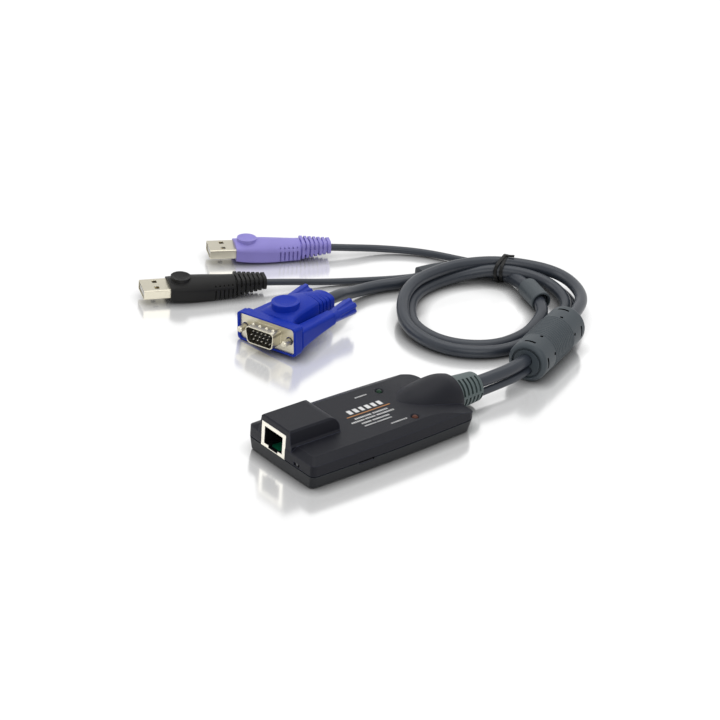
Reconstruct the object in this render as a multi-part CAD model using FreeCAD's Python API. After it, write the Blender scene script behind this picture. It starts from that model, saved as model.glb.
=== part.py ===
"""KVM dongle: a hand-sized console adapter with a network jack, two USB plugs and a VGA plug.

Millimetres, +Z up.  The origin is the middle of the housing's base on the surface it stands on.
The jack faces -Y and the cables leave towards +Y.  Every node is written to parts/NODE.step.
"""
import FreeCAD
import Part
import math
import os

V = FreeCAD.Vector

# ---------------------------------------------------------------- driving dimensions
HOUSING_LENGTH = 90.0
HOUSING_HALF_WIDTH = 21.75
SEAM_Z = 6.1
SEAM_GROOVE = 0.6
WALL_TOP_Z = 11.2
LID_Z = 13.3
LID_INSET = 4.2
WALL = 1.8
FLOOR = 1.4

BOARD_THICKNESS = 1.6
BOARD_TOP_Z = 5.95

JACK_X = -4.9
JACK_WIDTH = 15.8
JACK_DEPTH = 21.0
JACK_TOP_Z = 17.3
PORT_WIDTH = 11.9
PORT_HEIGHT = 8.0
PORT_FLOOR_Z = 7.5
HOOD_TOP_Z = 20.2

RELIEF_Z = 8.2
RELIEF_X = 0.8
MAIN_D = 5.7
USB_D = 3.4
THIN_D = 3.1

FERRITE_RADIUS = 9.25
FERRITE_NEAR = V(-0.9, 93.4, 9.3)
FERRITE_FAR = V(-18.8, 134.9, 9.3)

LOOP_CENTRE = V(-62.0, 118.0, 0.0)
COIL_HALF_WIDTH = 5.9
COIL_HALF_HEIGHT = 5.5
COIL_Z = 5.6

USB_WIDTH = 12.0
USB_HEIGHT = 4.5
USB_EXPOSED = 12.4
USB_LENGTH = 58.4

VGA_PITCH = 12.5
VGA_FLANGE = (30.8, 12.4)
VGA_FRAME = (33.2, 13.7)
SCREW_RADIUS = 1.45
RUNNING_FIT = 0.06


# ---------------------------------------------------------------- small helpers
def box(x0, x1, y0, y1, z0, z1):
    """A block between two corners."""
    return Part.makeBox(x1 - x0, y1 - y0, z1 - z0, V(x0, y0, z0))


def rod(start, end, radius):
    """A cylinder between two points."""
    axis = end - start
    return Part.makeCylinder(radius, axis.Length, start, axis)


def taper(start, end, radius_start, radius_end):
    """A cone frustum between two points."""
    axis = end - start
    return Part.makeCone(radius_start, radius_end, axis.Length, start, axis)


def join(shapes):
    """One solid out of several that touch."""
    return shapes[0].multiFuse(shapes[1:]).removeSplitter()


def carve(shape, tools):
    """The shape less every tool."""
    return shape.cut(Part.makeCompound(tools) if len(tools) > 1 else tools[0])


def rounded_wire(centre, along_u, along_v, half_u, half_v, radius):
    """A closed rectangle with rounded corners, in the plane of two unit vectors."""
    def at(a, b):
        return centre + along_u * a + along_v * b

    edges = []
    diagonal = radius * (1.0 - math.sqrt(0.5))
    corners = [(1, -1), (1, 1), (-1, 1), (-1, -1)]
    ends = []
    for sign_u, sign_v in corners:
        side = at(sign_u * half_u, sign_v * (half_v - radius))
        level = at(sign_u * (half_u - radius), sign_v * half_v)
        middle = at(sign_u * (half_u - diagonal), sign_v * (half_v - diagonal))
        first, last = (level, side) if sign_u * sign_v < 0 else (side, level)
        ends.append((first, middle, last))
    for index, (first, middle, last) in enumerate(ends):
        edges.append(Part.Arc(first, middle, last).toShape())
        following = ends[(index + 1) % 4][0]
        edges.append(Part.LineSegment(last, following).toShape())
    return Part.Wire(edges)


def plug_section(x, half_width, half_height, radius, lift=0.0):
    """A rounded cross-section of a plug at the distance x from its tip."""
    return rounded_wire(V(x, 0, lift), V(0, 1, 0), V(0, 0, 1), half_width, half_height, radius)


def plug_block(x0, x1, half_width, half_height, radius, lift=0.0):
    """A straight block of rounded cross-section."""
    face = Part.Face(plug_section(x0, half_width, half_height, radius, lift))
    return face.extrude(V(x1 - x0, 0, 0))


def crowned_section(x, half_width, low, ridge, crown, radius):
    """A grip's cross-section: flat below, upright sides up to a ridge, and a crowned top."""
    rise = crown - ridge
    bow = (half_width * half_width + rise * rise) / (2.0 * rise)
    inner = half_width - 0.9
    shoulder = crown - bow + math.sqrt(bow * bow - inner * inner)
    start = V(x, half_width, ridge - 0.9)
    end = V(x, inner, shoulder)
    between = (start + end) * 0.5
    bulge = between + (V(x, half_width, ridge) - between) * 0.42
    corner = radius * 0.293

    def other(point):
        return V(point.x, -point.y, point.z)

    side = V(x, half_width, low + radius)
    floor = V(x, half_width - radius, low)
    turn = V(x, half_width - corner, low + corner)
    edges = [
        Part.LineSegment(other(floor), floor).toShape(),
        Part.Arc(floor, turn, side).toShape(),
        Part.LineSegment(side, start).toShape(),
        Part.Arc(start, bulge, end).toShape(),
        Part.Arc(end, V(x, 0, crown), other(end)).toShape(),
        Part.Arc(other(end), other(bulge), other(start)).toShape(),
        Part.LineSegment(other(start), other(side)).toShape(),
        Part.Arc(other(side), other(turn), other(floor)).toShape(),
    ]
    return Part.Wire(edges)


def placed(shape, tip, heading, roll=0.0, pitch=0.0):
    """Moves a shape modelled along +X so that its tip and its heading are the given ones."""
    moved = shape.copy()
    turn = FreeCAD.Rotation(V(0, 0, 1), heading)
    turn = turn.multiply(FreeCAD.Rotation(V(0, 1, 0), -pitch))
    turn = turn.multiply(FreeCAD.Rotation(V(1, 0, 0), roll))
    moved.Placement = FreeCAD.Placement(tip, turn)
    return moved


def route(points):
    """Straight runs joined by the largest tangent arcs; returns the wire and the least radius."""
    edges = []
    least = None
    here = points[0]
    for index in range(1, len(points) - 1):
        before, corner, after = points[index - 1], points[index], points[index + 1]
        incoming = corner - before
        outgoing = after - corner
        reach = 0.45 * min(incoming.Length, outgoing.Length)
        incoming.normalize()
        outgoing.normalize()
        half_turn = incoming.getAngle(outgoing) / 2.0
        radius = reach / math.tan(half_turn)
        bisector = outgoing - incoming
        bisector.normalize()
        middle = corner + bisector * (radius / math.cos(half_turn) - radius)
        start = corner - incoming * reach
        end = corner + outgoing * reach
        edges.append(Part.LineSegment(here, start).toShape())
        edges.append(Part.Arc(start, middle, end).toShape())
        here = end
        least = radius if least is None else min(least, radius)
    edges.append(Part.LineSegment(here, points[-1]).toShape())
    return Part.Wire(edges), least


def tube(name, points, diameter):
    """A round cord along a route, with its least bend and its volume printed."""
    wire, least = route(points)
    heading = points[1] - points[0]
    profile = Part.Wire([Part.Circle(points[0], heading, diameter / 2.0).toShape()])
    solid = wire.makePipeShell([profile], True, False)
    if solid.Volume < 0:
        solid.reverse()
    expected = math.pi * diameter ** 2 / 4.0 * wire.Length
    print(f"{name}: length {wire.Length:.1f}, least radius {least:.1f} ({least / diameter:.1f} d), "
          f"volume {solid.Volume / expected:.4f} of section x length")
    return solid


def around(angle, radius, z):
    """A point about the middle of the cable loop."""
    turn = math.radians(angle)
    return LOOP_CENTRE + V(radius * math.cos(turn), radius * math.sin(turn), z)


# ---------------------------------------------------------------- housing
def plan(side_inset, front_inset, rear_inset, front_radius, rear_radius, z):
    """The housing's outline at a height: bowed sides, a bowed rear and rounded corners."""
    half = HOUSING_LENGTH / 2.0
    front = -half + front_inset
    rear = half + 0.6 - rear_inset
    wide = HOUSING_HALF_WIDTH - side_inset
    rear_wide = 20.2 - side_inset
    corner = V(rear_wide - rear_radius * 0.29, rear - rear_radius * 0.29 - 0.4, z)
    points = [
        V(wide - 0.15, front + front_radius, z),
        V(wide + 0.1, -8.0, z),
        V(rear_wide, rear - rear_radius - 0.6, z),
        corner,
        V(rear_wide - rear_radius, rear - 0.2, z),
        V(0, rear, z),
    ]
    mirrored = [V(-p.x, p.y, p.z) for p in points]
    nose = V(wide - 0.15 - front_radius, front, z)
    nose_mid = V(wide - 0.15 - front_radius * 0.29, front + front_radius * 0.29, z)
    edges = [
        Part.Arc(points[0], points[1], points[2]).toShape(),
        Part.Arc(points[2], points[3], points[4]).toShape(),
        Part.Arc(points[4], points[5], mirrored[4]).toShape(),
        Part.Arc(mirrored[4], mirrored[3], mirrored[2]).toShape(),
        Part.Arc(mirrored[2], mirrored[1], mirrored[0]).toShape(),
        Part.Arc(mirrored[0], V(-nose_mid.x, nose_mid.y, z), V(-nose.x, nose.y, z)).toShape(),
        Part.Arc(V(-nose.x, nose.y, z), V(0, front - 0.25, z), nose).toShape(),
        Part.Arc(nose, nose_mid, points[0]).toShape(),
    ]
    return Part.Wire(edges)


def storey(lower, upper):
    """A solid between two outlines of the housing."""
    return Part.makeLoft([lower, upper], True, True)


def hood():
    """The raised box over the network jack: drafted sides, a skirt and a rounded rear edge."""
    front = -HOUSING_LENGTH / 2.0
    rear = -18.8
    top = HOOD_TOP_Z
    across = [V(-14.9, front, 9.0), V(-14.9, front, 13.5), V(-14.2, front, 14.2),
              V(-13.3, front, top - 0.7), V(-12.6, front, top), V(4.6, front, top),
              V(5.4, front, top - 0.7), V(6.3, front, 14.2), V(7.0, front, 13.5),
              V(7.0, front, 9.0), V(-14.9, front, 9.0)]
    solid = Part.Face(Part.makePolygon(across)).extrude(V(0, rear - front, 0))
    bend = Part.Arc(V(-20, rear - 5.4, top), V(-20, rear - 1.58, top - 1.58), V(-20, rear, top - 5.4))
    along = [
        Part.LineSegment(V(-20, front + 0.5, top), V(-20, rear - 5.4, top)).toShape(),
        bend.toShape(),
        Part.LineSegment(V(-20, rear, top - 5.4), V(-20, rear, 8.0)).toShape(),
        Part.LineSegment(V(-20, rear, 8.0), V(-20, front, 8.0)).toShape(),
        Part.LineSegment(V(-20, front, 8.0), V(-20, front, top - 0.5)).toShape(),
        Part.LineSegment(V(-20, front, top - 0.5), V(-20, front + 0.5, top)).toShape(),
    ]
    return solid.common(Part.Face(Part.Wire(along)).extrude(V(40, 0, 0)))


def hump():
    """The broad half-cone that leads the cables out of the housing's rear."""
    stations = [
        (18.2, 5.6, 5.3), (20.2, 7.2, 6.0), (22.6, 9.1, 6.9), (26.5, 10.5, 8.1),
        (32.5, 11.1, 9.4), (38.5, 11.0, 10.3), (44.0, 10.6, 10.0), (47.2, 10.0, 9.1),
    ]
    wires = []
    for y, half_width, rise in stations:
        edge = Part.Ellipse(V(0, 0, 0), half_width, rise).toShape()
        spin = FreeCAD.Rotation(V(1, 0, 0), 90)
        edge.Placement = FreeCAD.Placement(V(RELIEF_X * 0.6, y, RELIEF_Z), spin)
        wires.append(Part.Wire([edge]))
    solid = Part.makeLoft(wires, True, False)
    return solid.common(box(-30, 30, 10, 60, 0.0, 30))


def rear_slope(drop):
    """Everything above the lid's long curve down to the rear wall, lowered by a drop."""
    top = LID_Z - drop
    curve = Part.Arc(V(-30, 19.0, top), V(-30, 33.0, top - 1.23), V(-30, 47.5, top - 5.25))
    lines = [
        Part.LineSegment(V(-30, 47.5, top - 5.25), V(-30, 60.0, top - 5.25)),
        Part.LineSegment(V(-30, 60.0, top - 5.25), V(-30, 60.0, 40.0)),
        Part.LineSegment(V(-30, 60.0, 40.0), V(-30, 19.0, 40.0)),
        Part.LineSegment(V(-30, 19.0, 40.0), V(-30, 19.0, top)),
    ]
    edges = [curve.toShape()] + [line.toShape() for line in lines]
    return Part.Face(Part.Wire(edges)).extrude(V(60, 0, 0))


def seam_groove():
    """The shadow gap round the joint of the two covers."""
    ring = box(-40, 40, -60, 46.5, SEAM_Z - 0.2, SEAM_Z + 0.35)
    inner = storey(plan(SEAM_GROOVE, SEAM_GROOVE, SEAM_GROOVE, 2.2, 3.4, SEAM_Z - 1.0),
                   plan(SEAM_GROOVE, SEAM_GROOVE, SEAM_GROOVE, 2.2, 3.4, SEAM_Z + 1.0))
    ring = ring.cut(inner)
    exit_room = box(-10.4, 11.4, 38, 60, SEAM_Z - 2, SEAM_Z + 2)
    return ring.cut(exit_room).cut(box(19, 24, -20.3, -12.2, SEAM_Z - 2, SEAM_Z + 2))


def seam_tab(play):
    """The tab of the lid that sits in a notch of the tray's long wall, grown by a play."""
    block = box(20.2 - play, 24.0, -20.0 - play, -13.0 + play * 2.5, SEAM_Z - 1.0 - play, SEAM_Z + 0.6)
    outline = storey(plan(0, 0, 0, 2.6, 3.6, SEAM_Z - 3.0), plan(0, 0, 0, 2.6, 3.6, SEAM_Z + 2.0))
    return block.common(outline)


def relief_room():
    """The round space that holds the strain relief's root and the cables behind it."""
    centre = V(RELIEF_X, 0, RELIEF_Z)
    inner = rod(centre + V(0, 28.0, 0), centre + V(0, 43.2, 0), 6.6)
    mouth = rod(centre + V(0, 43.0, 0), centre + V(0, 50.0, 0), 5.9)
    return [inner, mouth]


def led_seat(x, y):
    """A hole with a countersunk rim in the lid."""
    shaft = rod(V(x, y, 9.0), V(x, y, 14.0), 1.55)
    rim = taper(V(x, y, LID_Z - 0.6), V(x, y, LID_Z + 0.1), 1.5, 2.3)
    return [shaft, rim]


LEDS = {"green_led": (-11.3, 17.2), "orange_led": (13.9, 15.9)}
SWITCH_X = 11.0
SWITCH_Z = 7.5


def top_cover():
    """The lid: low walls, bevelled rim, jack hood and cable hump."""
    shell = join([
        storey(plan(0, 0, 0, 2.2, 3.6, SEAM_Z), plan(0, 0, 0, 2.2, 3.6, WALL_TOP_Z)),
        storey(plan(0, 0, 0, 2.2, 3.6, WALL_TOP_Z),
               plan(LID_INSET, 3.2, 2.0, 0.9, 5.0, LID_Z)),
        hood(),
    ])
    shell = shell.cut(rear_slope(0.0)).cut(seam_groove())
    shell = join([shell, seam_tab(0.0), hump().common(box(-30, 30, 10, 60, SEAM_Z, 30))])
    inside = [
        storey(plan(WALL, WALL, WALL, 1.6, 3.0, SEAM_Z - 0.5), plan(WALL, WALL, WALL, 1.6, 3.0, 9.6)),
        storey(plan(WALL, WALL, WALL, 1.6, 3.0, 9.6),
               plan(LID_INSET + 0.8, 3.6, 6.0, 1.2, 8.0, LID_Z - 1.5)),
    ]
    inside = [space.cut(rear_slope(1.6)) for space in inside]
    front = -HOUSING_LENGTH / 2.0
    jack = box(JACK_X - JACK_WIDTH / 2 - 0.1, JACK_X + JACK_WIDTH / 2 + 0.1,
               front - 1, front + JACK_DEPTH + 0.3, SEAM_Z - 1, JACK_TOP_Z + 0.1)
    slot = box(SWITCH_X - 1.9, SWITCH_X + 1.9, front - 1, front + 3, SWITCH_Z - 0.7, SWITCH_Z + 0.7)
    tools = inside + [jack, slot] + relief_room()
    for x, y in LEDS.values():
        tools += led_seat(x, y)
    for tool in tools:
        shell = shell.cut(tool)
    return shell


BOARD_PEGS = [(-15.0, -20.0), (15.5, -30.0), (-15.0, 29.0), (15.0, 29.0)]


def bottom_cover():
    """The tray: a thin floor, drafted walls, four board pegs and a rubbed lower edge."""
    outer = join([
        storey(plan(1.7, 1.4, 1.8, 2.0, 3.2, 0.0), plan(0.8, 0.5, 0.9, 2.2, 3.6, 0.8)),
        storey(plan(0.8, 0.5, 0.9, 2.2, 3.6, 0.8), plan(0, 0, 0, 2.2, 3.6, SEAM_Z)),
    ])
    outer = outer.cut(seam_groove()).cut(seam_tab(0.25))
    collar = hump().common(box(-30, 30, 38, 60, 0.25, SEAM_Z))
    outer = join([outer, collar])
    hollow = storey(plan(WALL + 1.0, WALL + 0.8, WALL + 1.0, 1.6, 3.0, FLOOR),
                    plan(WALL, WALL, WALL, 1.6, 3.0, SEAM_Z + 0.5))
    shell = outer.cut(hollow)
    jack_room = box(JACK_X - 9.5, JACK_X + 9.5, -60, -30, BOARD_TOP_Z - 0.1, SEAM_Z + 1)
    for tool in [jack_room] + relief_room():
        shell = shell.cut(tool)
    board_floor = BOARD_TOP_Z - BOARD_THICKNESS
    pegs = []
    for x, y in BOARD_PEGS:
        pegs.append(rod(V(x, y, FLOOR - 0.2), V(x, y, board_floor), 2.2))
        pegs.append(rod(V(x, y, board_floor - 0.2), V(x, y, BOARD_TOP_Z + 0.4), 1.0))
    return join([shell] + pegs)


def circuit_board():
    """The board, clear of the walls, with holes for the pegs and a notch for the cables."""
    lower = plan(2.7, 0.7, 14.5, 1.2, 3.0, BOARD_TOP_Z - BOARD_THICKNESS)
    board = Part.Face(lower).extrude(V(0, 0, BOARD_THICKNESS))
    board = board.common(box(-30, 30, -42.4, 40, 0, 10))
    return carve(board, [rod(V(x, y, 0), V(x, y, 9), 1.1) for x, y in BOARD_PEGS])


def chip(x, y, width, length, height, leads):
    """A flat package with a row of leads on its two long sides."""
    body = box(x - width / 2, x + width / 2, y - length / 2, y + length / 2,
               BOARD_TOP_Z + 0.15, BOARD_TOP_Z + height)
    pieces = [body]
    pitch = length / (leads + 1)
    for index in range(leads):
        lead_y = y - length / 2 + pitch * (index + 1)
        pieces.append(box(x - width / 2 - 0.9, x + width / 2 + 0.9, lead_y - 0.2, lead_y + 0.2,
                          BOARD_TOP_Z, BOARD_TOP_Z + 0.35))
    return join(pieces)


def capacitors():
    """Four small cans beside the video chip."""
    spots = [(-15.5, 4.0), (-15.5, 10.0), (15.0, -12.0), (15.0, -6.0)]
    return Part.makeCompound([rod(V(x, y, BOARD_TOP_Z), V(x, y, BOARD_TOP_Z + 4.2), 1.9)
                              for x, y in spots])


def cable_header():
    """The socket block that takes the cables' inner wires."""
    block = box(-8.0, 8.0, 20.5, 25.5, BOARD_TOP_Z, BOARD_TOP_Z + 3.6)
    holes = []
    for index in range(8):
        x = -7.0 + 2.0 * index
        holes.append(box(x - 0.6, x + 0.6, 23.0, 26.0, BOARD_TOP_Z + 1.2, BOARD_TOP_Z + 2.4))
    return carve(block, holes)


# ---------------------------------------------------------------- network jack
def jack_notch(depth):
    """The latch's way in, through the lower border of the port."""
    front = -HOUSING_LENGTH / 2.0
    return box(JACK_X - 3.1, JACK_X + 3.1, front - 1, front + depth, BOARD_TOP_Z + 0.4, PORT_FLOOR_Z + 0.1)


def port_space(depth):
    """The plug's way in."""
    front = -HOUSING_LENGTH / 2.0
    return box(JACK_X - PORT_WIDTH / 2, JACK_X + PORT_WIDTH / 2, front - 1, front + depth,
               PORT_FLOOR_Z, PORT_FLOOR_Z + PORT_HEIGHT)


def rj45_shield():
    """The bright sheet-metal can around the jack, open below, with a border at its mouth."""
    front = -HOUSING_LENGTH / 2.0
    left = JACK_X - JACK_WIDTH / 2
    right = JACK_X + JACK_WIDTH / 2
    sheet = 0.35
    can = box(left, right, front, front + JACK_DEPTH, BOARD_TOP_Z, JACK_TOP_Z)
    room = box(left + sheet, right - sheet, front + sheet, front + JACK_DEPTH - sheet,
               BOARD_TOP_Z - 1, JACK_TOP_Z - sheet)
    return carve(can, [room]).cut(port_space(3)).cut(jack_notch(3))


def rj45_housing():
    """The moulded body of the jack, with the port, the latch slot and an open floor."""
    front = -HOUSING_LENGTH / 2.0
    sheet = 0.35
    left = JACK_X - JACK_WIDTH / 2 + sheet
    right = JACK_X + JACK_WIDTH / 2 - sheet
    block = box(left, right, front + sheet, front + JACK_DEPTH - sheet, BOARD_TOP_Z, JACK_TOP_Z - sheet)
    floor = box(JACK_X - 4.6, JACK_X + 5.2, front + 2.2, front + 11.0, BOARD_TOP_Z - 1, PORT_FLOOR_Z + 0.1)
    return block.cut(port_space(15.0)).cut(jack_notch(11.0)).cut(floor)


def rj45_contacts():
    """Eight sprung contacts that slope down from the roof of the port."""
    front = -HOUSING_LENGTH / 2.0
    roof = PORT_FLOOR_Z + PORT_HEIGHT
    wires = []
    for index in range(8):
        x = JACK_X + 1.02 * (index - 3.5)
        side = Part.makePolygon([
            V(x - 0.18, front + 3.4, roof), V(x - 0.18, front + 4.0, roof),
            V(x - 0.18, front + 12.4, roof - 2.9), V(x - 0.18, front + 12.3, roof - 3.3),
            V(x - 0.18, front + 3.4, roof - 0.4), V(x - 0.18, front + 3.4, roof),
        ])
        wires.append(Part.Face(side).extrude(V(0.36, 0, 0)))
    return Part.makeCompound(wires)


def led(x, y):
    """A domed light standing on the board."""
    body = rod(V(x, y, BOARD_TOP_Z), V(x, y, LID_Z - 0.9), 1.4)
    dome = Part.makeSphere(1.4, V(x, y, LID_Z - 0.9))
    return join([body, dome])


def slide_switch_body():
    """The switch's case, with the channel that its knob slides in."""
    front = -HOUSING_LENGTH / 2.0
    case = box(SWITCH_X - 3.4, SWITCH_X + 3.4, front + 2.2, front + 5.4, BOARD_TOP_Z, BOARD_TOP_Z + 3.0)
    channel = box(SWITCH_X - 2.2, SWITCH_X + 2.2, front + 1.0, front + 3.4, SWITCH_Z - 0.65, SWITCH_Z + 0.65)
    return case.cut(channel)


def slide_switch_knob():
    """The knob that slides sideways in the front slot."""
    front = -HOUSING_LENGTH / 2.0
    return box(SWITCH_X - 0.7, SWITCH_X + 0.7, front + 0.15, front + 3.3, SWITCH_Z - 0.6, SWITCH_Z + 0.6)


# ---------------------------------------------------------------- cords
MAIN_ROUTE = [
    V(0.3, 34.0, 9.2), V(0.4, 50.5, 9.2), V(0.9, 70.0, 9.4), V(0.5, 90.2, 10.7),
    V(-10.2, 115.0, 10.7), around(30, 46.5, 9.8), around(58, 47.8, 7.8), around(82, 46.8, 6.6),
]
USB_ROUTE_OUT = [
    V(2.9, 34.0, 4.7), V(3.0, 50.5, 4.7), V(3.2, 70.0, 4.8), V(1.9, 90.8, 6.0),
    V(-9.0, 115.4, 6.0), around(30, 48.2, 4.6), around(58, 50.8, 3.6), around(82, 50.0, 3.4),
]
USB_ROUTE_PLUG = [
    around(104, 43.4, 4.4), around(128, 40.6, 3.4), V(-103.0, 146.4, 2.2), V(-120.5, 137.6, 1.75),
    V(-133.5, 122.5, 2.2),
]
INNER_ROUTE = [around(300, 41.5, 4.0), around(330, 37.6, 3.4), around(0, 33.6, 3.4),
               around(30, 31.2, 4.2), around(60, 32.0, 5.0), around(92, 33.4, 5.0),
               around(121, 38.6, 5.0)]
COIL_STATIONS = [(0, 36.4), (30, 40.0), (60, 48.9), (90, 50.4), (120, 41.0), (150, 33.2),
                 (180, 30.3), (210, 30.8), (240, 34.1), (270, 40.3), (300, 42.6), (330, 41.4)]
SPLIT_NEAR = V(-97.0, 129.6, 4.2)
SPLIT_FAR = V(-98.9, 116.1, 4.2)


def cable_coil():
    """The outer shape of the cable's loop: two to three strands lying against each other."""
    points = [around(angle, radius, COIL_Z) for angle, radius in COIL_STATIONS]
    edges = []
    count = len(points)
    starts = []
    for index, corner in enumerate(points):
        incoming = corner - points[index - 1]
        outgoing = points[(index + 1) % count] - corner
        reach = 0.45 * min(incoming.Length, outgoing.Length)
        incoming.normalize()
        outgoing.normalize()
        half_turn = incoming.getAngle(outgoing) / 2.0
        radius = reach / math.tan(half_turn)
        bisector = outgoing - incoming
        bisector.normalize()
        middle = corner + bisector * (radius / math.cos(half_turn) - radius)
        starts.append((corner - incoming * reach, middle, corner + outgoing * reach))
    for index, (start, middle, end) in enumerate(starts):
        edges.append(Part.Arc(start, middle, end).toShape())
        edges.append(Part.LineSegment(end, starts[(index + 1) % count][0]).toShape())
    wire = Part.Wire(edges)
    first = starts[0][0]
    heading = starts[0][0] - starts[-1][2]
    heading.normalize()
    across = V(heading.y, -heading.x, 0)
    frame = FreeCAD.Placement(first, FreeCAD.Rotation(across, V(0, 0, 1), heading, "XYZ"))
    ellipse = Part.Ellipse(V(0, 0, 0), COIL_HALF_WIDTH, COIL_HALF_HEIGHT).toShape()
    ellipse.Placement = frame
    solid = wire.makePipeShell([Part.Wire([ellipse])], True, False)
    if solid.Volume < 0:
        solid.reverse()
    print("cable_coil: length %.1f, volume %.4f" % (
        wire.Length, solid.Volume / (math.pi * COIL_HALF_WIDTH * COIL_HALF_HEIGHT * wire.Length)))
    return solid


def ferrite_axis():
    """Unit vectors along the ferrite, across it and up."""
    along = FERRITE_FAR - FERRITE_NEAR
    along.normalize()
    return along, V(along.y, -along.x, 0), V(0, 0, 1)


def ferrite_blank(extra):
    """The ferrite's outer shape, grown by a margin."""
    along, _, _ = ferrite_axis()
    return rod(FERRITE_NEAR - along * extra, FERRITE_FAR + along * extra, FERRITE_RADIUS + extra)


def ferrite_core():
    """The magnetic tube inside the cover."""
    along, _, _ = ferrite_axis()
    start = FERRITE_NEAR + along * 4.5
    end = FERRITE_FAR - along * 4.5
    return rod(start, end, 7.7).cut(rod(start - along, end + along, 6.2))


def ferrite_cover(cords):
    """The moulded cover: rounded ends, a recessed ring and a boss at the mouth, and windows."""
    along, across, up = ferrite_axis()
    solid = rod(FERRITE_NEAR, FERRITE_FAR, FERRITE_RADIUS)
    rims = [edge for edge in solid.Edges if edge.isClosed() and edge.Length > 10]
    solid = solid.makeFillet(2.2, rims)
    tools = [rod(FERRITE_NEAR + along * 4.5, FERRITE_FAR - along * 4.5, 7.7)]
    for end, inward in ((FERRITE_NEAR, along), (FERRITE_FAR, along * -1)):
        ring = rod(end - inward, end + inward * 0.9, 7.1).cut(rod(end - inward, end + inward, 6.1))
        tools.append(ring)
    length = (FERRITE_FAR - FERRITE_NEAR).Length
    for dot_angle, slot_angle in ((79.5, 94.0), (16.5, 6.0)):
        turn = math.radians(dot_angle)
        facing = across * math.cos(turn) + up * math.sin(turn)
        for distance in (10.8, length - 12.5):
            base = FERRITE_NEAR + along * distance
            tools.append(rod(base + facing * 7.0, base + facing * 10.5, 0.75))
        turn = math.radians(slot_angle)
        facing = across * math.cos(turn) + up * math.sin(turn)
        side = along.cross(facing)
        for distance in (3.5, length - 5.1):
            base = FERRITE_NEAR + along * distance
            band = rod(base - along * 0.62, base + along * 0.62, 11.0)
            band = band.cut(rod(base - along, base + along, 7.15))
            wedge = Part.Face(Part.makePolygon([
                base - along, base - along + (facing + side * 0.30) * 14,
                base - along + (facing - side * 0.30) * 14, base - along])).extrude(along * 2)
            tools.append(band.common(wedge))
    for tool in tools:
        solid = solid.cut(tool)
    for cord in cords:
        solid = solid.cut(cord)
    return solid


def strain_relief(cords):
    """The ribbed boot: a tapered body with staggered cuts, rooted in the housing."""
    centre = V(RELIEF_X, 0, RELIEF_Z)
    root = [
        rod(centre + V(0, 40.0, 0), centre + V(0, 43.0, 0), 6.5),
        rod(centre + V(0, 42.8, 0), centre + V(0, 47.5, 0), 5.9),
    ]
    cone = taper(centre + V(0, 47.2, 0), centre + V(0, 61.6, 0), 7.7, 6.6)
    rim = [edge for edge in cone.Edges if edge.isClosed() and edge.BoundBox.YMin > 61.0]
    cone = cone.makeFillet(1.4, rim)
    solid = join(root + [cone])
    for index in range(5):
        y = 49.6 + 2.35 * index
        band = rod(centre + V(0, y - 0.55, 0), centre + V(0, y + 0.55, 0), 9.0)
        band = band.cut(rod(centre + V(0, y - 1, 0), centre + V(0, y + 1, 0), 5.9))
        for middle, half in ((42.0, 33.0), (-20.0, 20.0), (222.0, 33.0), (160.0, 20.0)):
            shift = 1.1 if half < 30 else 0.0
            low = math.radians(middle - half)
            high = math.radians(middle + half)
            corner = centre + V(0, y - 1.2, 0)
            wedge = Part.Face(Part.makePolygon([
                corner, corner + V(14 * math.cos(low), 0, 14 * math.sin(low)),
                corner + V(14 * math.cos(high), 0, 14 * math.sin(high)), corner,
            ])).extrude(V(0, 2.4, 0))
            cutter = band.common(wedge)
            cutter.translate(V(0, shift, 0))
            solid = solid.cut(cutter)
    for cord in cords:
        solid = solid.cut(cord)
    return solid


def sleeve_ends():
    """The ends of the small sleeve on the innermost strand."""
    return V(-47.3, 145.6, 4.9), V(-61.9, 150.3, 5.0)


def cable_sleeve(cords):
    """A short open sleeve that caps the sheath's end."""
    mouth, back = sleeve_ends()
    along = back - mouth
    along.normalize()
    body = rod(mouth, back, 4.8)
    rims = [edge for edge in body.Edges if edge.isClosed() and edge.Length > 10]
    body = body.makeFillet(0.6, rims)
    body = body.cut(rod(mouth - along, mouth + along * 3.5, 3.9))
    for cord in cords:
        body = body.cut(cord)
    return body


def splitter_blank(extra):
    """The tapered block where the sheath splits into two cables."""
    along = SPLIT_FAR - SPLIT_NEAR
    length = along.Length
    shape = Part.makeLoft([
        plug_section(-extra, 4.0 + extra, 3.6 + extra, 2.8),
        plug_section(length * 0.5, 4.5 + extra, 3.6 + extra, 2.8),
        plug_section(length + extra, 4.4 + extra, 3.3 + extra, 2.2),
    ], True, False)
    return placed(shape, SPLIT_NEAR, math.degrees(math.atan2(along.y, along.x)))


def cable_tie(coil, cords):
    """The band that holds the strands together."""
    start = around(120, 39.6, 0)
    heading = V(-math.sin(math.radians(128)), math.cos(math.radians(128)), 0)
    across = V(-heading.y, heading.x, 0)
    ellipse = Part.Ellipse(V(0, 0, 0), 7.2, 6.2).toShape()
    ellipse.Placement = FreeCAD.Placement(V(start.x, start.y, 6.2) - heading * 1.5,
                                          FreeCAD.Rotation(across, V(0, 0, 1), heading, "XYZ"))
    band = Part.Face(Part.Wire([ellipse])).extrude(heading * 3.0)
    for inner in [coil] + cords:
        band = band.cut(inner)
    return max(band.Solids, key=lambda solid: solid.Volume)


# ---------------------------------------------------------------- USB plugs
def usb_shell():
    """The plug's sheet-metal tube with its two pairs of windows."""
    half_w, half_h = USB_WIDTH / 2, USB_HEIGHT / 2
    outer = plug_block(0, 19.0, half_w, half_h, 0.5)
    inner = plug_block(-1, 20.0, half_w - 0.32, half_h - 0.32, 0.25)
    windows = []
    for side in (-1, 1):
        windows.append(box(5.4, 7.6, side * 2.9 - 1.2, side * 2.9 + 1.2, -5, 5))
    return carve(outer.cut(inner), windows)


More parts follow.
